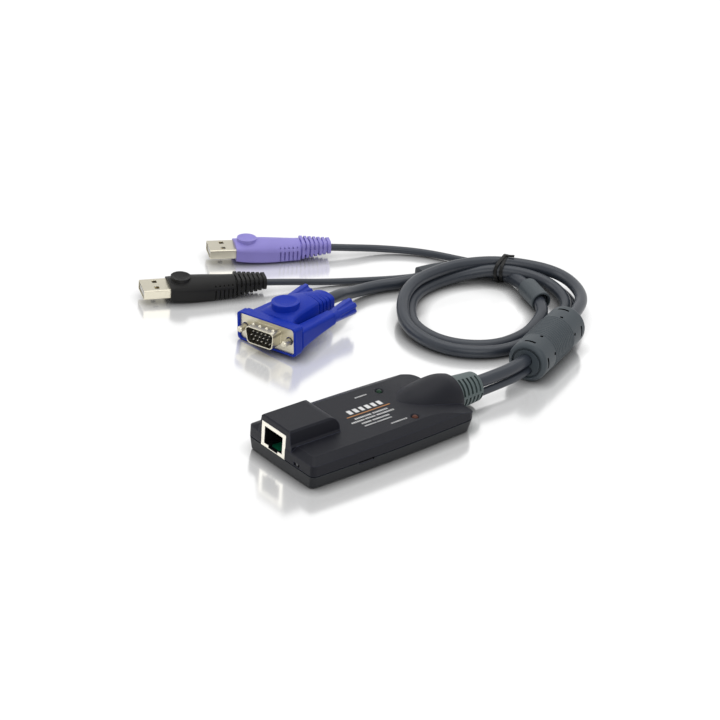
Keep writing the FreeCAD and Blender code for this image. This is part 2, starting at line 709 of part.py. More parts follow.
def usb_tongue():
    """The plastic tongue that carries the contacts."""
    tongue = box(0.6, 18.8, -5.5, 5.5, -1.85, 0.0)
    block = box(12.6, 18.8, -5.5, 5.5, -0.1, 1.85)
    return join([tongue, block])


def usb_contacts():
    """Four flat contacts on the tongue, the outer two longer."""
    strips = []
    for y, start in ((-3.5, 1.4), (-1.0, 2.4), (1.0, 2.4), (3.5, 1.4)):
        strips.append(box(start, 12.4, y - 0.5, y + 0.5, 0.0, 0.2))
    return Part.makeCompound(strips)


def usb_overmould():
    """The grip: a crowned body, a dished thumb rest, side slots and a ribbed tail."""
    body = Part.makeLoft([
        crowned_section(USB_EXPOSED, 6.9, -3.6, 2.5, 4.1, 1.2),
        crowned_section(19.5, 7.3, -4.4, 2.0, 4.95, 1.3),
        crowned_section(31.0, 6.9, -4.75, 1.3, 4.75, 1.4),
        crowned_section(43.1, 5.9, -4.5, 0.9, 4.25, 1.5),
    ], True, False)
    core = Part.makeLoft([plug_section(42.5, 4.7, 3.1, 1.8),
                          plug_section(57.6, 3.3, 2.5, 1.8, 0.5)], True, True)
    pieces = [body, core]
    for index in range(7):
        x = 44.5 + 2.1 * index
        shrink = index / 6.0
        thick = 0.6 if index < 6 else 0.85
        pieces.append(plug_block(x - 0.6, x + thick, 5.9 - 1.6 * shrink, 4.25 - 1.1 * shrink, 2.4,
                                 0.5 * shrink))
        if index in (0, 2, 4):
            half = 5.3 - 1.5 * shrink
            pieces.append(box(x + 0.5, x + 1.6, -half, half, -1.6, 0.5))
    pieces.append(rod(V(18.1, 0, 2.0), V(18.1, 0, 5.9), 4.6))
    grip = join(pieces)
    dish = Part.makeSphere(9.0, V(18.1, 0, 5.9 + 8.05))
    tools = [dish, plug_block(0, 19.0, USB_WIDTH / 2, USB_HEIGHT / 2, 0.5)]
    for index in range(5):
        x = 33.35 + 2.05 * index
        inner = 5.5 - 0.18 * index
        for side in (-1, 1):
            near, far = sorted((side * inner, side * 9.0))
            tools.append(box(x - 0.38, x + 0.38, near, far, -6.0, 0.6))
            near, far = sorted((side * (inner - 0.1), side * (inner + 0.6)))
            tools.append(box(x - 0.35, x + 0.35, near, far, 1.2, 6.0))
    for tool in tools:
        grip = grip.cut(tool)
    return grip


USB_PLUGS = {
    "usb_black": {"tip": V(-154.65, -3.55, 5.05), "heading": 66.4, "roll": 1.0},
    "usb_purple": {"tip": V(-171.27, 46.99, 5.15), "heading": 62.1, "roll": -2.0},
}
VGA_PLACE = {"tip": V(-85.9, 15.5, 8.05), "heading": 103.0, "roll": -4.0, "pitch": 1.5}


def along_plug(name, distance, z=None):
    """A point on a plug's axis, seen from its tip."""
    place = VGA_PLACE if name == "vga" else USB_PLUGS[name]
    turn = math.radians(place["heading"])
    climb = distance * math.tan(math.radians(place.get("pitch", 0.0)))
    point = place["tip"] + V(distance * math.cos(turn), distance * math.sin(turn), climb)
    return point if z is None else V(point.x, point.y, z)


# ---------------------------------------------------------------- VGA plug
def d_wire(x, grow):
    """The D outline of the connector, wide side up, grown by a margin."""
    top, low, half = 8.2 + grow, 7.0 + grow, 4.1 + grow
    outline = Part.makePolygon([V(x, -top, half), V(x, top, half), V(x, low, -half),
                                V(x, -low, -half), V(x, -top, half)])
    return Part.Face(outline)


def d_block(x0, x1, grow, radius):
    """A solid of the D outline with rounded corners."""
    solid = d_wire(x0, grow).extrude(V(x1 - x0, 0, 0))
    corners = [edge for edge in solid.Edges
               if abs(edge.BoundBox.XLength - abs(x1 - x0)) < 0.01]
    return solid.makeFillet(radius, corners)


def vga_shell():
    """The flange plate with the raised D-shaped rim."""
    plate = plug_block(-0.1, 0.7, VGA_FLANGE[0] / 2, VGA_FLANGE[1] / 2, 1.6)
    rim = d_block(-5.9, 0.5, 0.0, 2.0)
    solid = join([plate, rim])
    solid = solid.cut(d_block(-7.0, 2.0, -0.45, 1.6))
    for side in (-1, 1):
        solid = solid.cut(rod(V(-1, side * VGA_PITCH, 0), V(2, side * VGA_PITCH, 0), 1.9))
    return solid


def vga_insert():
    """The black block that the pins stand in."""
    return d_block(-1.6, 6.0, -0.45, 1.6)


def vga_pins():
    """Fifteen round pins in three rows."""
    pins = []
    for row, z in enumerate((1.98, 0.0, -1.98)):
        offset = 0.57 if row == 1 else -0.57
        for index in range(5):
            y = 2.29 * (index - 2) + offset
            shaft = rod(V(-4.7, y, z), V(-1.6, y, z), 0.38)
            nose = taper(V(-5.2, y, z), V(-4.7, y, z), 0.2, 0.38)
            pins.append(join([shaft, nose]))
    return Part.makeCompound(pins)


def vga_overmould():
    """The hood: frame, crowned body with a thumb rest, two screw arms and a ribbed tail."""
    half_w, half_h = VGA_FRAME[0] / 2, VGA_FRAME[1] / 2
    frame = plug_block(-0.9, 3.3, half_w, half_h, 1.8)
    step = plug_block(3.2, 5.2, half_w - 0.5, half_h - 0.6, 1.6)
    body = Part.makeLoft([
        crowned_section(4.9, 10.4, -6.4, 5.0, 6.6, 2.0), crowned_section(8.0, 9.2, -6.9, 6.3, 8.2, 2.0),
        crowned_section(12.0, 8.6, -7.1, 6.9, 9.2, 2.0), crowned_section(20.0, 8.4, -7.1, 7.2, 9.4, 2.0),
        crowned_section(27.0, 7.9, -6.9, 6.7, 8.9, 2.2),
    ], True, False)
    core = Part.makeLoft([crowned_section(26.5, 7.0, -5.7, 5.0, 7.2, 2.2),
                          crowned_section(40.0, 4.4, -4.4, 2.4, 4.0, 2.2)], True, True)
    pieces = [frame, step, body, core]
    for index in range(4):
        x = 29.0 + 3.25 * index
        shrink = index / 3.0
        thick = 0.95 if index < 3 else 1.9
        section = crowned_section(x - 0.95, 7.6 - 1.7 * shrink, -6.6 + 1.3 * shrink, 6.0 - 2.3 * shrink,
                                  8.3 - 2.9 * shrink, 2.2)
        pieces.append(Part.Face(section).extrude(V(0.95 + thick, 0, 0)))
    for side in (-1, 1):
        arm = Part.makeLoft([
            rounded_wire(V(4.9, side * 12.9, -0.6), V(0, 1, 0), V(0, 0, 1), 3.5, 4.9, 1.6),
            rounded_wire(V(13.0, side * 12.8, -0.2), V(0, 1, 0), V(0, 0, 1), 3.3, 4.1, 1.6),
            rounded_wire(V(29.3, side * 12.5, 0), V(0, 1, 0), V(0, 0, 1), 3.0, 3.1, 1.6),
        ], True, False)
        pieces.append(arm)
    pieces.append(rod(V(13.0, 0, 3.0), V(13.0, 0, 11.0), 6.4))
    hood_solid = join(pieces)
    tools = [
        Part.makeSphere(12.0, V(13.0, 0, 11.0 + 10.7)),
        plug_block(-2.0, 0.7, VGA_FLANGE[0] / 2, VGA_FLANGE[1] / 2, 1.6),
        vga_insert(),
    ]
    for side in (-1, 1):
        tools.append(rod(V(-2, side * VGA_PITCH, 0), V(33, side * VGA_PITCH, 0),
                         SCREW_RADIUS + RUNNING_FIT))
    for tool in tools:
        hood_solid = hood_solid.cut(tool)
    return hood_solid


def vga_thumbscrew(side):
    """A jackscrew: threaded tip, long shank and a fluted knob."""
    y = side * VGA_PITCH
    shank = rod(V(-4.3, y, 0), V(29.7, y, 0), SCREW_RADIUS)
    tip = taper(V(-5.0, y, 0), V(-4.3, y, 0), 0.9, SCREW_RADIUS)
    knob = taper(V(29.5, y, 0), V(43.6, y, 0), 3.0, 4.1)
    flutes = []
    for index in range(6):
        turn = math.radians(60 * index)
        near = V(32.5, y + 4.3 * math.cos(turn), 4.3 * math.sin(turn))
        far = V(45.0, y + 4.7 * math.cos(turn), 4.7 * math.sin(turn))
        flutes.append(rod(near, far, 1.35))
    for flute in flutes:
        knob = knob.cut(flute)
    return join([shank, tip, knob])


# ---------------------------------------------------------------- writing
def plug_set(name):
    """The four pieces of a USB plug, in place."""
    place = USB_PLUGS[name]
    pieces = {"shell": usb_shell(), "tongue": usb_tongue(), "contacts": usb_contacts(),
              "overmould": usb_overmould()}
    return {f"{name}_{key}": placed(shape, place["tip"], place["heading"], place["roll"])
            for key, shape in pieces.items()}


def plug_routes():
    """The points of the VGA plug's cable and of the black plug's cable, from the splitter on."""
    along = SPLIT_FAR - SPLIT_NEAR
    along.normalize()
    side = V(along.y, -along.x, 0)
    start = SPLIT_FAR - along * 6.0
    vga = [
        start + side * -1.3 + V(0, 0, 0.35), SPLIT_FAR + along * 7 + side * -1.9 + V(0, 0, -0.9),
        V(-103.6, 93.0, 2.95), V(-102.9, 78.0, 4.0), along_plug("vga", 48.0),
        along_plug("vga", 34.0),
    ]
    thin = [
        start + side * 2.5 + V(0, 0, -1.9), SPLIT_FAR + along * 6.0 + side * 3.3 + V(0, 0, -1.6),
        V(-113.6, 92.6, 1.6), V(-121.5, 76.0, 1.9), along_plug("usb_black", USB_LENGTH + 7.5, 4.3),
        along_plug("usb_black", USB_LENGTH - 8.0),
    ]
    return vga, thin


def cords():
    """Every cord as a plain tube, with the loop's outer shape."""
    ferrite = ferrite_blank(0.25)
    sleeve_mouth, sleeve_back = sleeve_ends()
    splitter = splitter_blank(0.15)
    vga_route, thin_route = plug_routes()
    vga = tube("vga_cable", vga_route, MAIN_D)
    thin = tube("usb_black_cable", thin_route, THIN_D)
    coil = cable_coil().cut(ferrite).cut(splitter)
    coil = coil.cut(tube("room beside the coil", vga_route, MAIN_D + 0.3))
    coil = max(coil.Solids, key=lambda solid: solid.Volume)
    main = tube("main_cable", MAIN_ROUTE, MAIN_D).cut(coil)
    main = min(main.Solids, key=lambda solid: solid.BoundBox.YMin)
    out = tube("usb_purple_cable, first part", USB_ROUTE_OUT, USB_D).cut(coil)
    out = min(out.Solids, key=lambda solid: solid.BoundBox.YMin)
    plug_end = along_plug("usb_purple", USB_LENGTH - 9.0)
    tail = USB_ROUTE_PLUG + [along_plug("usb_purple", USB_LENGTH + 8.0, 4.2), plug_end]
    last = tube("usb_purple_cable, second part", tail, USB_D).cut(coil)
    last = min(last.Solids, key=lambda solid: solid.BoundBox.XMin)
    inner = tube("inner_cable", INNER_ROUTE, MAIN_D).cut(coil)
    inner = max(inner.Solids, key=lambda solid: solid.Volume)
    return {"cable_coil": coil, "main_cable": main, "usb_purple_cable": (out, last),
            "inner_cable": inner, "vga_cable": vga, "usb_black_cable": thin}


def build():
    """All nodes by name."""
    soft = cords()
    out, last = soft["usb_purple_cable"]
    nodes = {
        "top_cover": top_cover(),
        "bottom_cover": bottom_cover(),
        "circuit_board": circuit_board(),
        "main_chip": chip(0.0, -8.0, 13.0, 14.0, 1.7, 12),
        "video_chip": chip(-4.0, 10.0, 9.0, 10.0, 1.5, 8),
        "memory_chip": chip(9.5, 8.0, 5.0, 8.0, 1.4, 6),
        "capacitors": capacitors(),
        "cable_header": cable_header(),
        "rj45_shield": rj45_shield(),
        "rj45_housing": rj45_housing(),
        "rj45_contacts": rj45_contacts(),
        "slide_switch_body": slide_switch_body(),
        "slide_switch_knob": slide_switch_knob(),
        "strain_relief": strain_relief([soft["main_cable"], out]),
        "ferrite_cover": ferrite_cover([soft["main_cable"], out]),
        "ferrite_core": ferrite_core(),
        "cable_sleeve": cable_sleeve([soft["inner_cable"]]),
        "cable_tie": cable_tie(soft["cable_coil"], [soft["inner_cable"], soft["main_cable"], last]),
        "main_cable": soft["main_cable"],
        "cable_coil": soft["cable_coil"],
        "inner_cable": soft["inner_cable"],
        "usb_purple_cable": Part.makeCompound([out, last]),
        "vga_cable": soft["vga_cable"],
        "usb_black_cable": soft["usb_black_cable"],
        "splitter": splitter_blank(0.0).cut(soft["vga_cable"]).cut(soft["usb_black_cable"]),
    }
    for name, (x, y) in LEDS.items():
        nodes[name] = led(x, y)
    for plug in USB_PLUGS:
        pieces = plug_set(plug)
        cord = last if plug == "usb_purple" else soft["usb_black_cable"]
        pieces[f"{plug}_overmould"] = pieces[f"{plug}_overmould"].cut(cord)
        nodes.update(pieces)
    vga = {"vga_shell": vga_shell(), "vga_insert": vga_insert(), "vga_pins": vga_pins(),
           "vga_overmould": vga_overmould(), "vga_thumbscrew_left": vga_thumbscrew(1),
           "vga_thumbscrew_right": vga_thumbscrew(-1)}
    for name, shape in vga.items():
        nodes[name] = placed(shape, VGA_PLACE["tip"], VGA_PLACE["heading"], VGA_PLACE["roll"],
                             VGA_PLACE["pitch"])
    nodes["vga_overmould"] = nodes["vga_overmould"].cut(soft["vga_cable"])
    return nodes


os.makedirs("parts", exist_ok=True)
for node, shape in build().items():
    solids = shape.Solids
    valid = all(solid.isValid() for solid in solids)
    box_ = shape.BoundBox
    print(f"{node}: {len(solids)} solid(s), valid {valid}, z {box_.ZMin:.2f}..{box_.ZMax:.2f}, "
          f"volume {shape.Volume:.1f}")
    if len(solids) == 1:
        shape = solids[0]
    shape.exportStep(f"parts/{node}.step")
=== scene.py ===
"""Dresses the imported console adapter: its cables, tie, print and finishes, with a plain studio."""
from __future__ import annotations

import logging
import math
from dataclasses import dataclass, field
from enum import Enum

import bpy
import bmesh
from mathutils import Matrix, Vector

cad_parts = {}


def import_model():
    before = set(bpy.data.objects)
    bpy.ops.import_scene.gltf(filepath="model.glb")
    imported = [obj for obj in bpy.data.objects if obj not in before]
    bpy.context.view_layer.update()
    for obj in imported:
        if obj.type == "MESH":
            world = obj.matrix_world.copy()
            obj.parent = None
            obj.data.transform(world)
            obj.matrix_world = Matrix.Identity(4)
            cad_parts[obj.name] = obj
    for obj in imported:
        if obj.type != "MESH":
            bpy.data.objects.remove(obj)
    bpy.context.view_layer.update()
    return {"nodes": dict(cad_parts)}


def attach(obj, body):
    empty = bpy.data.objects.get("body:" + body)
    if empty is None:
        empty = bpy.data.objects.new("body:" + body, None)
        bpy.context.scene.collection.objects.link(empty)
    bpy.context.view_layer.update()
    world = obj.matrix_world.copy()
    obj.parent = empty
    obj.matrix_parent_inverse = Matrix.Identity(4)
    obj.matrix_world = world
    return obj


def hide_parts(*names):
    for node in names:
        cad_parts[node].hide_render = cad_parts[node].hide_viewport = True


LOG = logging.getLogger("dongle")
MM = 0.001
ROOT_BODY = "dongle"
Colour = tuple[float, float, float]
Triple = tuple[float, float, float]

# Places in the shared frame, in millimetres, and directions.
LOOP_CENTRE: Triple = (-62.0, 118.0, 0.0)
FERRITE_START: Triple = (-0.9, 93.4, 9.3)
FERRITE_AXIS: Triple = (-17.9, 41.5, 0.0)
VGA_AXIS: Triple = (-0.22487, 0.97404, 0.02618)
SCREW_SPLIT: Triple = (-89.3, 30.1, 8.4)

# Values that all finishes share.
NICKEL: Colour = (0.60, 0.565, 0.46)
# Painted shade: the near-black colour painted into grooves and slots.
PAINTED_SHADE_COLOUR: Colour = (0.001, 0.001, 0.001)
FINE_DETAIL = 2.0
SLOW_SCALE = 70.0
SLOW_DETAIL = 4.0
NOISE_MIDDLE = 0.5
BEVEL_SAMPLES = 6
# Painted highlight along edges: how far the softened normal bends where the lightening starts and
# where it is full.
HIGHLIGHT_FROM = 0.02
HIGHLIGHT_TO = 0.25
BUMP_STRENGTH = 0.6
BUMP_DISTANCE = 0.0002

# Where a Mix node keeps its two colours and its result.
MIX_FIRST = 6
MIX_SECOND = 7
MIX_RESULT = 2

# How finely cables and rings are divided, and how uneven the printed dashes are.
CABLE_FACETS = 7
CABLE_STEPS = 14
RING_STEPS = 72
RING_FACETS = 10
SHORTEST_DASH = 0.72
LONGEST_DASH = 1.0


def metres(point: Triple) -> Vector:
    """Turns a point in millimetres into a vector in metres."""
    return Vector(point) * MM


class Metal(Enum):
    """How much of a surface is bare metal."""

    NONE = 0.0
    BARE = 1.0


# ---------------------------------------------------------------- node helpers
def put(node: bpy.types.Node, values: dict[str, object]) -> None:
    """Sets a node's inputs by name."""
    for label, value in values.items():
        node.inputs[label].default_value = value


class Tree:
    """A thin wrapper that adds and joins nodes in one tree."""

    def __init__(self, tree: bpy.types.NodeTree) -> None:
        """Keeps the tree."""
        self.tree = tree

    def add(self, kind: str, **settings: object) -> bpy.types.Node:
        """Adds a node.

        Args:
            kind: The node's type name.
            settings: Attributes to set on it.

        Returns:
            The new node.
        """
        node = self.tree.nodes.new(kind)
        for name, value in settings.items():
            setattr(node, name, value)
        return node

    def join(self, source: bpy.types.NodeSocket, target: bpy.types.NodeSocket) -> None:
        """Links one socket to another."""
        self.tree.links.new(source, target)

    def math(self, operation: str, first: object, second: object = None) -> bpy.types.NodeSocket:
        """Adds a Math node.

        Args:
            operation: The Math node's operation.
            first: A socket or a number.
            second: A socket, a number or nothing.

        Returns:
            The node's output.
        """
        node = self.add("ShaderNodeMath", operation=operation)
        for index, value in enumerate((first, second)):
            if value is None:
                continue
            if isinstance(value, (int, float)):
                node.inputs[index].default_value = value
            else:
                self.join(value, node.inputs[index])
        return node.outputs[0]

    def vector(self, operation: str, first: bpy.types.NodeSocket,
               second: object = None) -> bpy.types.Node:
        """Adds a Vector Math node.

        Args:
            operation: The Vector Math node's operation.
            first: A socket.
            second: A socket, a fixed vector or nothing.

        Returns:
            The node, whose result is its output Vector or its output Value.
        """
        node = self.add("ShaderNodeVectorMath", operation=operation)
        self.join(first, node.inputs[0])
        if isinstance(second, bpy.types.NodeSocket):
            self.join(second, node.inputs[1])
        elif second is not None:
            node.inputs[1].default_value = second
        return node

    def mix(self, factor: bpy.types.NodeSocket, first: object,
            second: Colour) -> bpy.types.NodeSocket:
        """Mixes two colours by a mask.

        Args:
            factor: The mask.
            first: What shows where the mask is 0, a colour or a socket.
            second: The colour where the mask is 1.

        Returns:
            The mixed colour's socket.
        """
        node = self.add("ShaderNodeMix", data_type="RGBA")
        self.join(factor, node.inputs["Factor"])
        if isinstance(first, bpy.types.NodeSocket):
            self.join(first, node.inputs[MIX_FIRST])
        else:
            node.inputs[MIX_FIRST].default_value = (*first, 1.0)
        node.inputs[MIX_SECOND].default_value = (*second, 1.0)
        return node.outputs[MIX_RESULT]


def new_tree(kind: str, name: str, inputs: dict[str, str],
             outputs: dict[str, str]) -> tuple[Tree, bpy.types.Node, bpy.types.Node]:
    """Makes a node tree that holds nothing but its input and output nodes.

    Args:
        kind: The tree's type name.
        name: The tree's name.
        inputs: Socket type by name.
        outputs: Socket type by name.

    Returns:
        The tree, its input node and its output node.
    """
    group = bpy.data.node_groups.new(name, kind)
    for direction, sockets in (("INPUT", inputs), ("OUTPUT", outputs)):
        for label, form in sockets.items():
            group.interface.new_socket(label, in_out=direction, socket_type=form)
    tree = Tree(group)
    return tree, tree.add("NodeGroupInput"), tree.add("NodeGroupOutput")


def piece_of(name: str, mesh: bmesh.types.BMesh, material: bpy.types.Material) -> bpy.types.Object:
    """Turns a working mesh into an object in the scene.

    Args:
        name: The object's name.
        mesh: The working mesh, which is freed.
        material: The object's material.

    Returns:
        The object.
    """
    data = bpy.data.meshes.new(name)
    mesh.to_mesh(data)
    mesh.free()
    data.materials.append(material)
    piece = bpy.data.objects.new(name, data)
    bpy.context.scene.collection.objects.link(piece)
    return piece


def grain_group() -> bpy.types.NodeTree:
    """Makes the grain all finishes share: a fine texture and slow changes of gloss and shade.

    Returns:
        The shader group, made once.
    """
    name = "moulded_grain"
    if name in bpy.data.node_groups:
        return bpy.data.node_groups[name]
    tree, source, result = new_tree(
        "ShaderNodeTree", name,
        {"Vector": "NodeSocketVector", "Grain Scale": "NodeSocketFloat",
         "Grain Depth": "NodeSocketFloat", "Roughness": "NodeSocketFloat",
         "Spread": "NodeSocketFloat"},
        {"Roughness": "NodeSocketFloat", "Height": "NodeSocketFloat", "Shade": "NodeSocketFloat"},
    )
    fine = tree.add("ShaderNodeTexNoise")
    put(fine, {"Detail": FINE_DETAIL})
    tree.join(source.outputs["Vector"], fine.inputs["Vector"])
    tree.join(source.outputs["Grain Scale"], fine.inputs["Scale"])
    slow = tree.add("ShaderNodeTexNoise")
    put(slow, {"Scale": SLOW_SCALE, "Detail": SLOW_DETAIL})
    tree.join(source.outputs["Vector"], slow.inputs["Vector"])
    tree.join(tree.math("MULTIPLY", fine.outputs["Fac"], source.outputs["Grain Depth"]),
              result.inputs["Height"])
    swing = tree.math("SUBTRACT", slow.outputs["Fac"], NOISE_MIDDLE)
    swing = tree.math("MULTIPLY", swing, source.outputs["Spread"])
    tree.join(tree.math("ADD", swing, source.outputs["Roughness"]), result.inputs["Roughness"])
    tree.join(slow.outputs["Fac"], result.inputs["Shade"])
    return tree.tree


def soft_edge_highlight_group() -> bpy.types.NodeTree:
    """Makes softened edges and a painted highlight, a pale line along them for the light that edges
    catch.

    Returns:
        The shader group, made once.
    """
    name = "handled_edges"
    if name in bpy.data.node_groups:
        return bpy.data.node_groups[name]
    tree, source, result = new_tree("ShaderNodeTree", name, {"Radius": "NodeSocketFloat"},
                                    {"Normal": "NodeSocketVector", "Painted Highlight": "NodeSocketFloat"})
    soft = tree.add("ShaderNodeBevel", samples=BEVEL_SAMPLES)
    tree.join(source.outputs["Radius"], soft.inputs["Radius"])
    shape = tree.add("ShaderNodeNewGeometry")
    facing = tree.vector("DOT_PRODUCT", soft.outputs["Normal"], shape.outputs["Normal"])
    bend = tree.math("SUBTRACT", 1.0, facing.outputs["Value"])
    spread = tree.add("ShaderNodeMapRange")
    put(spread, {"From Min": HIGHLIGHT_FROM, "From Max": HIGHLIGHT_TO})
    tree.join(bend, spread.inputs["Value"])
    tree.join(soft.outputs["Normal"], result.inputs["Normal"])
    tree.join(spread.outputs["Result"], result.inputs["Painted Highlight"])
    return tree.tree


@dataclass(frozen=True)
class Finish:
    """One finish: its colour, gloss, grain and edges, which carry a painted highlight."""

    name: str
    colour: Colour
    roughness: float
    shade: float = 0.85
    spread: float = 0.10
    grain_scale: float = 9000.0
    grain_depth: float = 0.15
    metal: Metal = Metal.NONE
    edge: float = 0.25
    # How much lighter the painted highlight makes the edges.
    edge_highlight_gain: float = 1.6
    specular: float = 0.5

    def relief(self, tree: Tree, vector: bpy.types.NodeSocket) -> bpy.types.NodeSocket | None:
        """Gives a height pattern of the finish's own, or nothing."""
        return None

    def tip_mask(self, tree: Tree, vector: bpy.types.NodeSocket) -> bpy.types.NodeSocket | None:
        """Gives a mask that is 1 where the surface is bare metal, or nothing."""
        return None

    def painted_shade_mask(self, tree: Tree, vector: bpy.types.NodeSocket) -> bpy.types.NodeSocket | None:
        """Gives a mask that is 1 where painted shade darkens grooves and slots, or nothing."""
        return None

    def build(self) -> bpy.types.Material:
        """Builds the material.

        Returns:
            The material, made once for each finish.
        """
        if self.name in bpy.data.materials:
            return bpy.data.materials[self.name]
        material = bpy.data.materials.new(self.name)
        material.use_nodes = True
        tree = Tree(material.node_tree)
        surface = material.node_tree.nodes["Principled BSDF"]
        place = tree.add("ShaderNodeTexCoord")
        vector = place.outputs["Object"]
        grain = tree.add("ShaderNodeGroup", node_tree=grain_group())
        tree.join(vector, grain.inputs["Vector"])
        put(grain, {"Grain Scale": self.grain_scale, "Grain Depth": self.grain_depth,
                    "Roughness": self.roughness, "Spread": self.spread})
        edges = tree.add("ShaderNodeGroup", node_tree=soft_edge_highlight_group())
        put(edges, {"Radius": self.edge * MM})
        darker = tuple(part * self.shade for part in self.colour)
        base = tree.mix(grain.outputs["Shade"], darker, self.colour)
        # Painted highlight: edges are made lighter than the colour, for the light that edges catch.
        highlighted = tuple(min(1.0, part * self.edge_highlight_gain) for part in self.colour)
        shown = tree.mix(edges.outputs["Painted Highlight"], base, highlighted)
        mask = self.tip_mask(tree, vector)
        if mask is not None:
            shown = tree.mix(mask, shown, NICKEL)
            tree.join(mask, surface.inputs["Metallic"])
        put(surface, {"Specular IOR Level": self.specular, "Metallic": self.metal.value})
        # Painted shade: grooves and slots are painted near black and lose their shine.
        painted_shade = self.painted_shade_mask(tree, vector)
        if painted_shade is not None:
            shown = tree.mix(painted_shade, shown, PAINTED_SHADE_COLOUR)
            shine = tree.math("MULTIPLY", tree.math("SUBTRACT", 1.0, painted_shade), self.specular)
            tree.join(shine, surface.inputs["Specular IOR Level"])
        tree.join(shown, surface.inputs["Base Color"])
        tree.join(grain.outputs["Roughness"], surface.inputs["Roughness"])
        height = grain.outputs["Height"]
        own = self.relief(tree, vector)
        if own is not None:
            height = tree.math("ADD", height, own)
        bump = tree.add("ShaderNodeBump")
        put(bump, {"Strength": BUMP_STRENGTH, "Distance": BUMP_DISTANCE})
        tree.join(height, bump.inputs["Height"])
        tree.join(edges.outputs["Normal"], bump.inputs["Normal"])
        tree.join(bump.outputs["Normal"], surface.inputs["Normal"])
        return material


@dataclass(frozen=True)
class WindowFinish(Finish):
    """A round moulding whose small windows get painted shade, between two places on its axis."""

    axis: Triple = (0.0, 1.0, 0.0)
    start: Triple = (0.0, 0.0, 0.0)
    # Painted shade covers all that lies nearer to the axis than this radius, in millimetres.
    skin: float = 9.18
    first: float = 2.5
    last: float = 42.7

    def painted_shade_mask(self, tree: Tree, vector: bpy.types.NodeSocket) -> bpy.types.NodeSocket:
        """Gives 1 for the painted shade in the windows, which lie nearer to the axis than the
        cover's outer face.
        """
        axis = Vector(self.axis).normalized()
        offset = tree.vector("SUBTRACT", vector, metres(self.start))
        away = tree.vector("CROSS_PRODUCT", offset.outputs["Vector"], axis)
        reach = tree.vector("LENGTH", away.outputs["Vector"])
        place = tree.vector("DOT_PRODUCT", offset.outputs["Vector"], axis).outputs["Value"]
        inside = tree.math("MULTIPLY", tree.math("GREATER_THAN", place, self.first * MM),
                           tree.math("LESS_THAN", place, self.last * MM))
        deep = tree.math("LESS_THAN", reach.outputs["Value"], self.skin * MM)
        return tree.math("MULTIPLY", deep, inside)


@dataclass(frozen=True)
class SeamFinish(Finish):
    """A moulding whose shadow gap, a groove between two heights, is painted dark as shade."""

    low: float = 5.92
    high: float = 6.43

    def painted_shade_mask(self, tree: Tree, vector: bpy.types.NodeSocket) -> bpy.types.NodeSocket:
        """Gives 1 between the two heights, where the groove's painted shade goes."""
        parts = tree.add("ShaderNodeSeparateXYZ")
        tree.join(vector, parts.inputs["Vector"])
        height = parts.outputs["Z"]
        return tree.math("MULTIPLY", tree.math("GREATER_THAN", height, self.low * MM),
                         tree.math("LESS_THAN", height, self.high * MM))


@dataclass(frozen=True)
class TippedFinish(Finish):
    """A plastic whose part before a plane is bare nickel, as on a jackscrew."""

    axis: Triple = (1.0, 0.0, 0.0)
    start: Triple = (0.0, 0.0, 0.0)

    def tip_mask(self, tree: Tree, vector: bpy.types.NodeSocket) -> bpy.types.NodeSocket:
        """Gives 1 before the plane and 0 behind it."""
        axis = Vector(self.axis).normalized()
        offset = tree.vector("SUBTRACT", vector, metres(self.start))
        along = tree.vector("DOT_PRODUCT", offset.outputs["Vector"], axis)
        return tree.math("LESS_THAN", along.outputs["Value"], 0.0)


@dataclass(frozen=True)
class PlateFinish(Finish):
    """Plated sheet metal with fine drawn lines along one direction."""

    along: Triple = (0.0, 1.0, 0.0)
    stretch: float = 0.04
    fineness: float = 14000.0
    depth: float = 0.12

    def relief(self, tree: Tree, vector: bpy.types.NodeSocket) -> bpy.types.NodeSocket:
        """Gives the drawn lines' height."""
        direction = Vector(self.along).normalized()
        turn = direction.to_track_quat("X", "Z").inverted().to_euler()
        mapping = tree.add("ShaderNodeMapping")
        put(mapping, {"Rotation": turn, "Scale": (self.stretch, 1.0, 1.0)})
        tree.join(vector, mapping.inputs["Vector"])
        lines = tree.add("ShaderNodeTexNoise")
        put(lines, {"Scale": self.fineness})
        tree.join(mapping.outputs["Vector"], lines.inputs["Vector"])
        return tree.math("MULTIPLY", lines.outputs["Fac"], self.depth)


# ---------------------------------------------------------------- cables
def around(angle: float, radius: float, height: float) -> Triple:
    """A point about the middle of the cable's loop, in millimetres."""
    turn = math.radians(angle)
    x, y, _ = LOOP_CENTRE
    return (x + radius * math.cos(turn), y + radius * math.sin(turn), height)


@dataclass
class Sheath:
    """A round cable along listed points."""

    name: str
    diameter: float
    route: list[Triple]
    leaves: Triple
    length: float
    far_end: str
    lay: str
    stiffness: str = "medium"
    stands_for: tuple[str, ...] = ()
    carries: tuple[str, ...] = ()
    curve: bpy.types.Object | None = field(default=None, init=False)

    def build(self, finish: Finish) -> bpy.types.Object:
        """Makes the cable's curve.

        Args:
            finish: The sheath's finish.

        Returns:
            The curve's object.
        """
        data = bpy.data.curves.new(self.name, "CURVE")
        data.dimensions = "3D"
        data.bevel_depth = self.diameter * MM / 2
        data.bevel_resolution = CABLE_FACETS
        data.resolution_u = CABLE_STEPS
        data.use_fill_caps = True
        spline = data.splines.new("NURBS")
        spline.points.add(len(self.route) - 1)
        for point, place in zip(spline.points, self.route):
            point.co = (*metres(place), 1.0)
        spline.order_u = 3
        spline.use_endpoint_u = True
        data.materials.append(finish.build())
        self.curve = bpy.data.objects.new(self.name, data)
        bpy.context.scene.collection.objects.link(self.curve)
        return self.curve

    def declare(self, extra: tuple[bpy.types.Object, ...] = ()) -> None:
        """Rides on the housing's body and hides the parts the cable stands for.

        Args:
            extra: Pieces made here that lie on this cable; not used.
        """
        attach(self.curve, ROOT_BODY)
        if self.stands_for:
            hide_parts(*self.stands_for)


